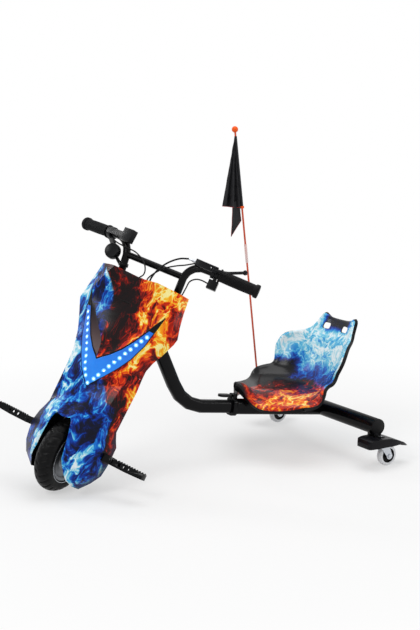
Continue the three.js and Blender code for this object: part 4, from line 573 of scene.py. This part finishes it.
def pipe(points, radius, sides=20):
    """A round tube along points, closed at both ends."""
    direction = (points[1] - points[0]).normalized()
    side = direction.orthogonal().normalized()
    vertices = []
    for i, spot in enumerate(points):
        now = (points[min(i + 1, len(points) - 1)] - points[max(i - 1, 0)]).normalized()
        side = (direction.rotation_difference(now) @ side).normalized()
        direction = now
        other = direction.cross(side)
        for k in range(sides):
            turn = math.tau * k / sides
            vertices.append(tuple(spot + (side * math.cos(turn) + other * math.sin(turn)) * radius))
    faces = grid_faces(len(points), sides, False, True)
    faces.append(list(range(sides))[::-1])
    faces.append([(len(points) - 1) * sides + k for k in range(sides)])
    return vertices, faces


def bent(corners, radii, steps=14):
    """Points of straight runs joined by round bends."""
    points = [corners[0]]
    for i, radius in enumerate(radii, 1):
        before = (corners[i] - corners[i - 1]).normalized()
        after = (corners[i + 1] - corners[i]).normalized()
        angle = before.angle(after)
        enter = corners[i] - before * radius * math.tan(angle / 2)
        axis = before.cross(after).normalized()
        centre = enter + axis.cross(before) * radius
        for share in shares(steps):
            points.append(Matrix.Rotation(angle * share, 3, axis) @ (enter - centre) + centre)
    points.append(corners[-1])
    return points


def spline_point(points, t):
    """A centripetal Catmull-Rom curve through points, at t from 0 to 1."""
    place = t * (len(points) - 1)
    i = min(int(place), len(points) - 2)
    weight = place - i
    p1, p2 = points[i], points[i + 1]
    p0 = points[i - 1] if i > 0 else p1 * 2 - p2
    p3 = points[i + 2] if i + 2 < len(points) else p2 * 2 - p1
    spans = ((p0, p1), (p1, p2), (p2, p3))
    d0, d1, d2 = [max((b - a).length_squared, 1e-8) ** 0.25 for a, b in spans]
    t1 = ((p1 - p0) / d0 - (p2 - p0) / (d0 + d1) + (p2 - p1) / d1) * d1
    t2 = ((p2 - p1) / d1 - (p3 - p1) / (d1 + d2) + (p3 - p2) / d2) * d1
    return (p1 + t1 * weight + (p2 * 3 - p1 * 3 - t1 * 2 - t2) * weight ** 2
            + (p1 * 2 - p2 * 2 + t1 + t2) * weight ** 3)


def smoothstep(value, low, high):
    share = min(max((value - low) / (high - low), 0), 1)
    return share * share * (3 - 2 * share)


def band(value, rise, fall):
    """1 between two soft edges, 0 outside them."""
    return smoothstep(value, *rise) * (1 - smoothstep(value, *fall))


def surface_normals(rows):
    last_row, last_column = len(rows) - 1, len(rows[0]) - 1
    out = []
    for i, row in enumerate(rows):
        line = []
        for j in range(len(row)):
            along = rows[min(i + 1, last_row)][j] - rows[max(i - 1, 0)][j]
            across = row[min(j + 1, last_column)] - row[max(j - 1, 0)]
            line.append(across.cross(along).normalized())
        out.append(line)
    return out


def offset_rows(rows, distance):
    """The points of a surface moved along its normals, as one list."""
    normals = surface_normals(rows)
    return [tuple(spot + normal * distance) for pair in zip(rows, normals) for spot, normal in zip(*pair)]


def thin_sheet(rows, thick):
    return offset_rows(rows, thick / 2) + offset_rows(rows, -thick / 2), sheet_faces(len(rows), len(rows[0]))


def surface_tree(mesh, keep=lambda polygon: True):
    """A tree for rays, of the mesh's faces that are kept."""
    corners = [v.co.copy() for v in mesh.vertices]
    return BVHTree.FromPolygons(corners, [list(p.vertices) for p in mesh.polygons if keep(p)])


def dressed(node, materials, bevel=0.0, smooth=35, steps=2, painter=None, clean=1.0):
    """A copy of a CAD node with broken edges and smooth shading, which stands for the node.
    Angles are in degrees. A painter gives each face's material index."""
    mesh = nodes[node].data.copy()
    mesh.name = node + "_form"
    mesh.materials.clear()
    form = bmesh.new()
    form.from_mesh(mesh)
    bmesh.ops.remove_doubles(form, verts=form.verts, dist=WELD)
    bmesh.ops.dissolve_limit(form, angle_limit=math.radians(clean), verts=form.verts, edges=form.edges)
    if bevel:
        sharp = math.radians(smooth)
        edges = [e for e in form.edges if len(e.link_faces) == 2 and abs(e.calc_face_angle(0)) > sharp]
        bmesh.ops.bevel(form, geom=edges, offset=bevel * MM, offset_type="OFFSET", segments=steps,
                        profile=0.6, affect="EDGES", clamp_overlap=True)
    form.to_mesh(mesh)
    form.free()
    if painter:
        for polygon in mesh.polygons:
            polygon.material_index = painter(polygon)
    return finish_mesh(node + "_looks", mesh, materials, body_of[node], [node], smooth)


# Rigid nodes: a finish, the width of their broken edges, the least angle that is an edge, and its steps

DRESSINGS = [
    (BLACK_STEEL, (0.6,), (
        "rear_sleeve", "main_tube", "head_tube", "clamp_collar", "seat_bracket_front", "seat_bracket_rear",
        "flag_socket", "fork", "peg_bracket_left", "peg_bracket_right", "cross_beam")),
    (BLACK_STEEL, (0.5,), ("foot_peg_left", "foot_peg_right")),
    (ZINC, (0.4,), (
        "bearing_cup_upper", "bearing_cup_lower", "wheel_axle", "top_nut", "caster_fork_left",
        "caster_fork_right", "cable_adjuster")),
    (ALLOY, (0.6,), ("hub_motor", "brake_plate", "controller")),
    (BLACK_PLASTIC, (0.6,), (
        "beam_cap_left", "beam_cap_right", "rear_core_left", "rear_core_right", "lamp_tray", "clamp_lever")),
    (FENDER_PLASTIC, (1.2, 28), ("fender_left", "fender_right")),
    (CONTROL_PLASTIC, (1.0,), (
        "throttle_housing", "switch_box", "brake_body", "brake_lever", "thumb_lever", "horn")),
    (MILKY, (1.2, 20, 3), ("rear_tyre_left", "rear_tyre_right")),
    (PACK, (4,), ("battery_pack",)),
    (RED_PLASTIC, (0.5,), ("switch_button",)),
    (LENS, (0.5, 25), ("lamp_lens",)),
    (POLE_PAINT, (0.3,), ("pole_lower", "pole_upper")),
    (SLEEVE, (0.3,), ("pole_ferrule",)),
]
for material, edges, names in DRESSINGS:
    for name in names:
        dressed(name, [material], *edges)


# Fairing: printed outside, black inside

# Outer faces look away from a line this far behind the steering axis. Level faces above the rim's height
# are the top edge.
FAIRING_MIDDLE, RIM_UP = 20, 540


def fairing_side(polygon):
    """0 for an outer face of the fairing, 1 for an inner or cut one."""
    offset = polygon.center - steer_origin
    outward = steer_left * offset.dot(steer_left)
    outward += steer_back * (offset.dot(steer_back) - FAIRING_MIDDLE * MM)
    on_rim = offset.dot(steer_up) > RIM_UP * MM and polygon.normal.dot(steer_up) > 0.7
    return 0 if polygon.normal.dot(outward.normalized()) > 0.05 and not on_rim else 1


for name in ("front_shell", "rear_cover"):
    dressed(name, [FAIRING_PRINT, BLACK_PLASTIC], 0.0, 22, painter=fairing_side, clean=0.5)


# Lamp: a row of lights over the lens, and a bead round it

# The lights of one arm, from the foot of the V, each to the side and up the steering axis.
LED_SPOTS = [(0, 215), (14, 232), (23, 247), (31.8, 264), (40, 281), (48.5, 298), (58, 314), (67, 331),
             (76, 348), (85, 365), (93.5, 381), (103.7, 397)]
DOME = [(0, 1.1), (1.6, 0.95), (2.6, 0.5), (3.0, 0.0), (3.0, -0.4)]
RING = [(0, 0.12), (5.6, 0.12), (6.2, 0.0), (6.2, -0.3)]

LENS_HALF, LENS_LOW, LENS_TIP = 128, 207, 465
LENS_RIM_SHARES = [
    (0, 0), (0.302, 0.161), (0.519, 0.317), (0.68, 0.458), (0.822, 0.636), (0.91, 0.8), (1, 1),
    (0.884, 0.904), (0.767, 0.793), (0.605, 0.651), (0.428, 0.517), (0.229, 0.41), (0, 0.314),
]
BEAD_RADIUS, BEAD_STEPS = 1.3, 6


def mirrored(spots):
    return [(-side, rise) for side, rise in spots]


def add_lights():
    lens = surface_tree(nodes["lamp_lens"].data)
    dots, halos = [], []
    for side, rise in LED_SPOTS + mirrored(LED_SPOTS[1:]):
        hit, normal, _, _ = lens.ray_cast(STEER @ Vector((side, AHEAD, rise)), steer_back)
        if hit is None:
            continue
        outward = -normal if normal.dot(steer_back) > 0 else normal
        dots.append(turned_to(revolved(DOME, 14), outward, hit / MM))
        halos.append(turned_to(revolved(RING, 18), outward, hit / MM))
    add_piece("lamp_dots", merged(*dots), DOT, "steering")
    add_piece("lamp_halos", merged(*halos), HALO, "steering")


def add_lens_rim():
    """A thin black bead round the lens, laid on the surfaces that meet there."""
    trees = [surface_tree(nodes[name].data) for name in ("lamp_lens", "front_shell")]
    outline = LENS_RIM_SHARES + mirrored(LENS_RIM_SHARES[-2:0:-1])
    path = []
    for (side, rise), (next_side, next_rise) in zip(outline, outline[1:] + outline[:1]):
        for share in shares(BEAD_STEPS)[:-1]:
            across = (side + (next_side - side) * share) * LENS_HALF
            high = LENS_LOW + (rise + (next_rise - rise) * share) * (LENS_TIP - LENS_LOW)
            start = STEER @ Vector((across, AHEAD, high))
            hits = [tree.ray_cast(start, steer_back)[0] for tree in trees]
            hits = [TO_STEER @ hit for hit in hits if hit is not None]
            if hits:
                path.append(min(hits, key=lambda spot: spot.y))
    bead = pipe(path + path[:1], BEAD_RADIUS, 8)
    add_piece("lens_rim", bead, BLACK_PLASTIC, "steering", STEER)


add_lights()
add_lens_rim()


# The rounded top of the wheel opening, laid over the shell's square corners

# Inner and outer are half the opening's width and its height, at each edge of the patch.
ARCH = {"inner": (34, 40), "outer": (44, 51), "centre": 80, "rings": 8, "turns": 60, "thick": 2.6,
        "proud": 0.15}


def add_arch():
    fronts = surface_tree(nodes["front_shell"].data, lambda polygon: polygon.normal.dot(steer_back) < -0.3
                          and polygon.normal.dot(steer_up) > -0.6)
    lift = (ARCH["proud"] - ARCH["thick"] / 2) * MM
    rows = []
    for turned in shares(ARCH["turns"]):
        turn = math.radians(90 - 180 * turned)
        line, plane = [], None
        for share in shares(ARCH["rings"])[::-1]:
            wide, high = [a + (b - a) * share for a, b in zip(ARCH["inner"], ARCH["outer"])]
            across, rise = wide * math.sin(turn), ARCH["centre"] + high * math.cos(turn)
            start = STEER @ Vector((across, AHEAD, rise))
            hit, normal, _, _ = fronts.ray_cast(start, steer_back)
            # Over the opening itself, the patch goes on in the plane of the face beside it.
            if hit is None and plane is None:
                hit, normal, _, _ = fronts.find_nearest(start)
            if hit is not None:
                plane = (hit, normal)
            foot, facing = plane
            along = (foot - start).dot(facing) / steer_back.dot(facing)
            outward = facing if facing.dot(steer_back) < 0 else -facing
            line.append(TO_STEER @ (start + steer_back * along + outward * lift))
        rows.append(line)
    patch = thin_sheet(rows, ARCH["thick"])
    add_piece("wheel_arch", patch, FAIRING_PRINT, "steering", STEER, smooth=22)


add_arch()


# Front tyre with swept grooves

# Edges are shares: of a groove's pitch along the tread, or of the tread's width from its middle.
TYRE = {"centre": 85, "tube": 25, "half": 28, "steps": 40, "around": 360, "wrap": 110, "grooves": 28,
        "depth": 2.6, "sweep": 0.24, "sweep_power": 1.3, "stagger": 0.1, "rib": 0.35,
        "pitch_edges": ((0.0, 0.1), (0.22, 0.34)), "groove_edges": ((0.04, 0.08), (0.52, 0.62)),
        "rib_edges": ((0.66, 0.68), (0.7, 0.72)),
        "bead": [(72.3, 24), (72.3, 19.7), (65.3, 19.7), (65.3, -19.7), (72.3, -19.7), (72.3, -24)]}
# A thin zinc ring beside the rim, as places of radius and side.
RIM_LINE = arc((76.2, 26.2), 0.9, 0, 315, 7)


def tyre_form():
    vertices = []
    for i in range(TYRE["around"]):
        turn = math.tau * i / TYRE["around"]
        ring = []
        for share in shares(TYRE["steps"]):
            across = 2 * share - 1
            angle = math.radians(TYRE["wrap"]) * across
            wide = abs(across)
            sweep = TYRE["sweep"] * wide ** TYRE["sweep_power"] + (TYRE["stagger"] if across > 0 else 0)
            phase = (turn + sweep) * TYRE["grooves"] / math.tau % 1
            cut = band(phase, *TYRE["pitch_edges"]) * band(wide, *TYRE["groove_edges"]) * TYRE["depth"]
            rib = band(wide, *TYRE["rib_edges"]) * TYRE["rib"]
            radius = TYRE["centre"] + (TYRE["tube"] - cut) * math.cos(angle)
            ring.append((radius, (TYRE["half"] - cut + rib) * math.sin(angle)))
        for radius, side in ring + TYRE["bead"]:
            vertices.append((side, radius * math.cos(turn), radius * math.sin(turn)))
    return vertices, grid_faces(TYRE["around"], TYRE["steps"] + 1 + len(TYRE["bead"]), True, True)


add_piece("front_tyre_looks", tyre_form(), TREAD, "front_wheel", WHEEL, ["front_tyre"], 40)
rim_form = turned_to(revolved(RIM_LINE, 96, True), (1, 0, 0))
add_piece("rim_line", rim_form, ZINC, "front_wheel", WHEEL)


# Handlebar: the node's plates and clamps stay, under smooth tubes

def add_handlebar():
    dressed("handlebar", [BLACK_STEEL], 0.0, 30)
    tubes = [pipe(bent(bar_corners(side), BAR["bends"]), BAR["radius"], BAR["sides"]) for side in (-1, 1)]
    foot, knee = bar_corners(1)[:2]
    spot = foot.lerp(knee, BAR["cross_share"])
    ends = [Vector((side * spot.x, spot.y, BAR["cross_up"])) for side in (-1, 1)]
    crossbar = pipe(ends, BAR["cross_radius"], BAR["sides"])
    for name, form in (("bar_tubes", merged(*tubes)), ("bar_crossbar", crossbar)):
        add_piece(name, form, BLACK_STEEL, "steering", STEER)


add_handlebar()


# Grips

GRIP = {"flange": [(11.3, 27), (19.0, 27), (19.5, 27.8), (19.5, 30.6), (18.8, 31.4), (16.6, 33)],
        "ring": [(15.9, 0), (16.5, 0.6), (16.5, 2.2), (15.9, 2.8)], "rings": 26, "first": 36, "pitch": 3.6,
        "bulge": 0.6,
        "end": [(16.6, 133), (19.2, 134.5), (19.5, 136), (19.5, 143.6), (18.6, 145.4), (16, 146), (0, 146)]}


def grip_form():
    profile = list(GRIP["flange"])
    for i in range(GRIP["rings"]):
        at = GRIP["first"] + i * GRIP["pitch"]
        bulge = GRIP["bulge"] * math.sin(math.pi * i / GRIP["rings"])
        profile += [(radius + bulge, at + along) for radius, along in GRIP["ring"]]
    return turned_to(revolved(profile + GRIP["end"], 48), (1, 0, 0))


for word, place in (("left", LEFT_BAR), ("right", RIGHT_BAR)):
    add_piece(f"grip_{word}_looks", grip_form(), GRIP_RUBBER, "steering", place, [f"grip_{word}"])


# Cables, on the routes of their CAD nodes

# Each cable: its radius, its start in an arm's placement, and the rest of its route in STEER.
ROUTES = {
    "brake_cable": (2.5, LEFT_BAR, (-68.1, -25, 6), [
        (84, -28, 636), (58, -26, 617), (38, -24, 592), (27, -21, 568), (22, -15, 548), (27, -7, 528),
        (29, -5, 500), (34, -10, 450), (49, -20, 380), (47, -14, 250), (44, -29, 165), (43, -29, 135),
        (39, -10, 104), (37, -1, 84),
    ]),
    "brake_switch_lead": (2, LEFT_BAR, (-47.8, -21, 1), [
        (104, -18, 627), (76, -15, 615), (47, -13.5, 598), (28, -13.5, 579), (15, -14.5, 559), (12, -15, 547),
        (18, -16.5, 534), (22, -18, 515), (28, -20, 470), (34, -16, 380), (34, -8, 290), (32, 14, 262),
        (32, 46.4, 262),
    ]),
    "switch_lead": (2, LEFT_BAR, (3.7, 0, -33), [
        (150, 17, 609), (132, 20, 606), (116, 24, 594), (110, 32, 572), (104, 38, 548), (88, 43.5, 527),
        (64, 27, 500), (51, 4, 474), (47, -8, 430), (45, -8, 380), (45, -6, 310), (45, -3, 284),
        (45, 14, 264), (45, 46.4, 262),
    ]),
    "throttle_lead": (2, RIGHT_BAR, (10, 6, -20.3), [
        (-146, -20, 618), (-124, -22, 613), (-88, -20, 610), (-60, -18, 608), (-24, -16, 592), (-8, -15, 572),
        (-6, -14.5, 557), (-13, -14, 547), (-21, -12, 534), (-27, -9, 515), (-30, -14, 470), (-34, -14, 380),
        (-34, -6, 290), (-32, 16, 262), (-32, 46.4, 262),
    ]),
}
CABLE_STEPS, CABLE_SIDES = 120, 14

for name, (radius, place, start, route) in ROUTES.items():
    points = [TO_STEER @ (place @ Vector(start))] + [Vector(spot) for spot in route]
    path = [spline_point(points, share) for share in shares(CABLE_STEPS)]
    add_piece(name + "_looks", pipe(path, radius, CABLE_SIDES), BLACK_PLASTIC, "steering", STEER, [name])


# Seat

# Each row across the seat, in shares: the middle's place back and up, the edge's place back and up, the
# half width, the ridge's height in the middle, and how bowed the row is.
SEAT_SHARES = [
    (0.007, 0.263, 0.299, 0.035, 0.984, 0.316, 0.33), (0.056, 0.246, 0.32, 0.035, 0.989, 0.272, 0.34),
    (0.102, 0.184, 0.345, 0.035, 0.995, 0.193, 0.36), (0.17, 0.127, 0.376, 0.039, 1, 0.114, 0.39),
    (0.267, 0.101, 0.408, 0.053, 1, 0.053, 0.47), (0.364, 0.079, 0.437, 0.088, 1, 0.018, 0.62),
    (0.461, 0.066, 0.459, 0.154, 0.989, 0, 0.81), (0.546, 0.066, 0.485, 0.211, 0.953, 0, 0.94),
    (0.626, 0.083, 0.539, 0.246, 0.889, 0, 1), (0.684, 0.136, 0.592, 0.263, 0.847, 0, 1),
    (0.728, 0.211, 0.621, 0.307, 0.832, 0, 1), (0.76, 0.307, 0.636, 0.386, 0.847, 0, 1),
    (0.789, 0.417, 0.65, 0.461, 0.879, 0, 1), (0.83, 0.561, 0.672, 0.557, 0.9, 0, 1),
    (0.869, 0.68, 0.728, 0.68, 0.832, 0, 1), (0.903, 0.75, 0.852, 0.754, 0.579, 0, 1),
    (0.932, 0.833, 0.9, 0.833, 0.484, 0, 1), (0.959, 0.912, 0.944, 0.952, 0.421, 0, 1),
    (0.971, 0.93, 0.951, 0.974, 0.389, 0, 1),
]
SEAT = {"rows": 72, "columns": 64, "bias": 1.15, "half": 184, "from": 580 - FOOTPRINT_MIDDLE, "length": 412,
        "low": 180, "height": 228, "bend": 3.2, "ridge": 0.24, "thick": 4, "flange": 3, "drop": 12,
        "lip": 12, "curl": 2.5, "black_steps": 2}
# Each step of the turned edge, as shares of its reach out and of its drop.
FLANGE_SHARES = [(0.55, 0.06), (0.85, 0.22), (1.0, 0.5), (1.0, 1.0)]
HANDLE = {"side": 45, "up": 372, "half": 16, "high": 9, "corner": 7.2, "near": 300, "far": 560}


def seat_surface():
    tracks = [[Vector((i, value, 0)) for i, value in enumerate(column)] for column in zip(*SEAT_SHARES)]
    rows = []
    for down in shares(SEAT["rows"]):
        values = [spline_point(track, down).y for track in tracks]
        middle_back, middle_up, edge_back, edge_up, width, ridge, bow = values
        base = middle_up - ridge
        row = []
        for share in shares(SEAT["columns"]):
            along = 2 * share - 1
            k = math.copysign(abs(along) ** SEAT["bias"], along)
            lift = abs(k) ** SEAT["bend"]
            back = middle_back + (edge_back - middle_back) * abs(k) ** (bow * SEAT["bend"])
            up = base + (edge_up - base) * lift + ridge * math.exp(-((k / SEAT["ridge"]) ** 2))
            row.append(Vector((k * width * SEAT["half"], SEAT["from"] + back * SEAT["length"],
                               SEAT["low"] + up * SEAT["height"])))
        rows.append(row)
    return rows


def flanged(rows):
    """Adds the rounded, turned-down edge, deepest at the front of the ridge."""
    normals = surface_normals(rows)
    last_row, last_column = len(rows) - 1, len(rows[0]) - 1
    steps = len(FLANGE_SHARES)
    out = []
    for i in range(-steps, last_row + 1 + steps):
        row = min(max(i, 0), last_row)
        line = []
        for j in range(-steps, last_column + 1 + steps):
            column = min(max(j, 0), last_column)
            edge = rows[row][column]
            spot = edge.copy()
            level = max(abs(i - row), abs(j - column))
            if level:
                out_share, down_share = FLANGE_SHARES[level - 1]
                away = Vector((0, 0, 0))
                if i != row:
                    away += (edge - rows[1 if i < 0 else last_row - 1][column]).normalized()
                if j != column:
                    away += (edge - rows[row][1 if j < 0 else last_column - 1]).normalized()
                lip = math.exp(-(edge.x / (SEAT["ridge"] * SEAT["half"])) ** 2) if i < 0 else 0
                spot += away * SEAT["flange"] * out_share
                spot -= normals[row][column] * (SEAT["drop"] + SEAT["lip"] * lip) * down_share
                spot.y += SEAT["curl"] * lip * down_share
            line.append(spot)
        out.append(line)
    return out


def handle_prism(side):
    """The rounded handle hole on one side, run along Y through the seat's back."""
    radius = HANDLE["corner"]
    outline = []
    for right, top, start in ((1, 1, 0), (-1, 1, 90), (-1, -1, 180), (1, -1, 270)):
        centre = (side * HANDLE["side"] + right * (HANDLE["half"] - radius),
                  HANDLE["up"] + top * (HANDLE["high"] - radius))
        outline += arc(centre, radius, start, start + 90, 6)
    vertices = [(x, y, z) for y in (HANDLE["near"], HANDLE["far"]) for x, z in outline]
    count = len(outline)
    caps = [list(range(count))[::-1], list(range(count, 2 * count))]
    return vertices, grid_faces(2, count, False, True) + caps


def add_seat():
    rows = flanged(seat_surface())
    height, width = len(rows), len(rows[0])
    faces = sheet_faces(height, width)
    to_edge = [min(i, j, height - 2 - i, width - 2 - j) for i in range(height - 1) for j in range(width - 1)]
    marks = [1 if steps < SEAT["black_steps"] else 0 for steps in to_edge] * 2
    marks += [1] * (len(faces) - len(marks))
    vertices = offset_rows(rows, SEAT["thick"]) + offset_rows(rows, 0)
    shell = linked("seat_form", mesh_of("seat_form", vertices, faces, marks=marks))
    tool = linked("handle_tool", mesh_of("handle_tool", *merged(handle_prism(-1), handle_prism(1))))
    for material in (SEAT_PRINT, BLACK_PLASTIC):
        shell.data.materials.append(material)
    tool.data.materials.append(BLACK_PLASTIC)
    change = shell.modifiers.new("handles", "BOOLEAN")
    change.operation = "DIFFERENCE"
    change.solver = "EXACT"
    change.material_mode = "TRANSFER"
    change.object = tool
    bpy.context.view_layer.update()
    result = bpy.data.meshes.new_from_object(shell.evaluated_get(bpy.context.evaluated_depsgraph_get()))
    for helper in (shell, tool):
        bpy.data.objects.remove(helper)
    # Clearing the materials sets each face's index to 0.
    marks = [polygon.material_index for polygon in result.polygons]
    result.materials.clear()
    finish_mesh("seat_shell_looks", result, [SEAT_PRINT, BLACK_PLASTIC], "chassis", ["seat_shell"],
                50)
    for polygon, mark in zip(result.polygons, marks):
        polygon.material_index = mark


add_seat()


# Flag: a pennant that hangs in folds from the pole

POLE_FOOT = Vector((-208, 806 - FOOTPRINT_MIDDLE, 165))
POLE_LEAN = math.radians(6.5)
POLE = within(GROUND, POLE_FOOT, (1, 0, 0), (0, math.cos(POLE_LEAN), math.sin(POLE_LEAN)),
              (0, -math.sin(POLE_LEAN), math.cos(POLE_LEAN)))
FLAG = {"rows": 48, "columns": 40, "thick": 0.7, "folds": 2.4, "first_fold": 0.6, "depth": 9,
        "free_share": 0.15, "ripple": 2.0, "fill": 0.55}
# Each corner is its reach from the pole's axis and its height along the pole.
PENNANT = {"apex": (3.6, 810), "hem": [(5.5, 588), (28, 591), (52, 597), (73, 602)]}
# The tail hangs a little to the side of the pennant, which hides its upper edge.
TAIL = {"aside": -3, "near_top": (5.5, 610), "far_top": (31, 608),
        "hem": [(5.5, 545), (20, 530), (35, 515), (49, 500)], "corner_gap": 0.4,
        "near_from": 8, "far_from": 4}
HEM_RADIUS, NEAR_RADIUS, FAR_RADIUS = 0.8, 0.6, 0.5
HOIST = [(3.3, 591), (4.6, 591), (4.2, 810), (3.3, 811)]
CLIP = [(3.3, 583), (6.4, 583.6), (6.6, 586), (6.4, 590.4), (3.3, 591)]
BALL = arc((0, 832), 10, -90, 90, 20)
BALL_SIDES = 36


def pennant_rows():
    """The main triangle, from its apex to its hem, in soft upright folds."""
    apex, *hem = [Vector((0, -reach, high)) for reach, high in (PENNANT["apex"], *PENNANT["hem"])]
    out = []
    for down in shares(FLAG["rows"]):
        line = []
        for share in shares(FLAG["columns"]):
            spot = apex.lerp(spline_point(hem, share), down)
            free = smoothstep(share, 0, FLAG["free_share"]) * down
            wave = math.sin(share * FLAG["folds"] * math.tau + FLAG["first_fold"]) * FLAG["depth"]
            ripple = noise.noise(Vector((share * 5, down * 9, 0))) * FLAG["ripple"]
            spot.x += free * wave + min(share * 6, 1) * ripple
            line.append(spot)
        out.append(line)
    return out


def tail_rows():
    """The second layer's tail, which hangs out below the hem behind the pole's side."""
    near_top, far_top, *lower = [Vector((TAIL["aside"], -reach, high))
                                 for reach, high in (TAIL["near_top"], TAIL["far_top"], *TAIL["hem"])]
    far_low = lower[-1] + Vector((0, TAIL["corner_gap"], TAIL["corner_gap"]))
    out = []
    for down in shares(FLAG["rows"] // 2):
        near = near_top.lerp(lower[0], down * 2) if down < 0.5 else spline_point(lower, down * 2 - 1)
        far = far_top.lerp(far_low, down)
        line = []
        for share in shares(FLAG["columns"] // 2):
            spot = near.lerp(far, share)
            spot.x += noise.noise(Vector((share * 3, down * 4, 7))) * FLAG["ripple"]
            line.append(spot)
        out.append(line)
    return out


def sheet_area(rows):
    """The area of a surface given in millimetres, in square metres."""
    total = 0.0
    for above, below in zip(rows, rows[1:]):
        for a, b, c, d in zip(above, above[1:], below[1:], below):
            total += ((b - a).cross(c - a).length + (c - a).cross(d - a).length) / 2
    return total * MM * MM


def add_flag():
    main, tail = pennant_rows(), tail_rows()
    layers = merged(*[thin_sheet(rows, FLAG["thick"]) for rows in (main, tail)])
    cloth = add_piece("flag_cloth", layers, FLAG_CLOTH, "chassis", POLE, ["flag"], 60)
    hems = merged(pipe(main[-1], HEM_RADIUS, 8),
                  pipe([row[0] for row in tail[TAIL["near_from"]:]], NEAR_RADIUS, 8),
                  pipe([row[-1] for row in tail[TAIL["far_from"]:]], FAR_RADIUS, 8))
    trims = add_piece("flag_hem", hems, FLAG_HEM, "chassis", POLE)
    hoist = add_piece("flag_hoist", revolved(HOIST, 20, True), FLAG_CLOTH, "chassis", POLE)
    add_piece("flag_clip", revolved(CLIP, 20, True), BALL_PLASTIC, "chassis", POLE)
    area = sheet_area(main) + sheet_area(tail)


add_flag()
ball_form = revolved(BALL, BALL_SIDES)
add_piece("pole_ball_looks", ball_form, BALL_PLASTIC, "chassis", POLE, ["pole_ball"])


# Floor, sky and lamps, in metres and watts

FLOOR = {"half": 14, "below": 0.0003, "colour": (0.92, 0.92, 0.92, 1), "fade": (0.5, 1.7), "near_share": 0.5}
WHITE = (1, 1, 1, 1)
SKY_LIGHT, SKY_IN_GLOSS = 0.42, 0.75


def floor_material():
    """A pale floor that turns plain white away from the object, so that only its shadow shows."""
    material = bpy.data.materials.new("floor")
    g = Tree(material)
    camera, glossy, through = g.rays()
    seen = g.math("MAXIMUM", g.math("MAXIMUM", camera, glossy), through)
    fade = g.step(g.vector("LENGTH", g.place()), *FLOOR["fade"], FLOOR["near_share"])
    diffuse = g.add("BsdfDiffuse", {"Color": FLOOR["colour"]})
    white = g.add("Emission", {"Color": WHITE})
    g.end("Material", g.add("MixShader", (fade * seen, diffuse, white)))
    return material


def add_floor():
    half = FLOOR["half"]
    corners = [(-half, -half, 0), (half, -half, 0), (half, half, 0), (-half, half, 0)]
    mesh = bpy.data.meshes.new("floor")
    mesh.from_pydata(corners, [], [(0, 1, 2, 3)])
    mesh.materials.append(floor_material())
    floor = linked("floor", mesh)
    floor.location.z = cad_box[0][2] - FLOOR["below"]


def add_sky():
    """A white sky for the camera, and a plain soft light for the rest."""
    world = bpy.data.worlds.new("studio")
    bpy.context.scene.world = world
    g = Tree(world)
    camera, glossy, through = g.rays()
    share = glossy * SKY_IN_GLOSS + g.math("MAXIMUM", camera, through)
    strength = g.add("MapRange", {"Value": share, "To Min": SKY_LIGHT, "To Max": 1.0})
    g.end("World", g.add("Background", {"Color": WHITE, "Strength": strength}))


def add_lamp(name, place, target, size, power):
    data = bpy.data.lights.new(name, "AREA")
    data.shape = "RECTANGLE"
    data.size, data.size_y = size
    data.energy = power
    lamp = linked(name, data)
    lamp.location = place
    lamp.rotation_euler = (Vector(target) - Vector(place)).to_track_quat("-Z", "Y").to_euler()


add_floor()
add_sky()
# Each lamp's place, target, size and power.
add_lamp("key", (1.5, -3.2, 3.0), (0, 0, 0.3), (1.2, 1.6), 46)
add_lamp("top", (0.2, 0.3, 3.0), (0, 0, 0.3), (2.0, 2.4), 40)
add_lamp("side", (2.5, 2.2, 0.8), (0, 0.1, 0.4), (2.8, 0.12), 16)
add_lamp("far", (-2.4, -1.6, 1.8), (0, 0, 0.4), (0.16, 1.6), 12)

bpy.context.scene.view_settings.view_transform = "Standard"
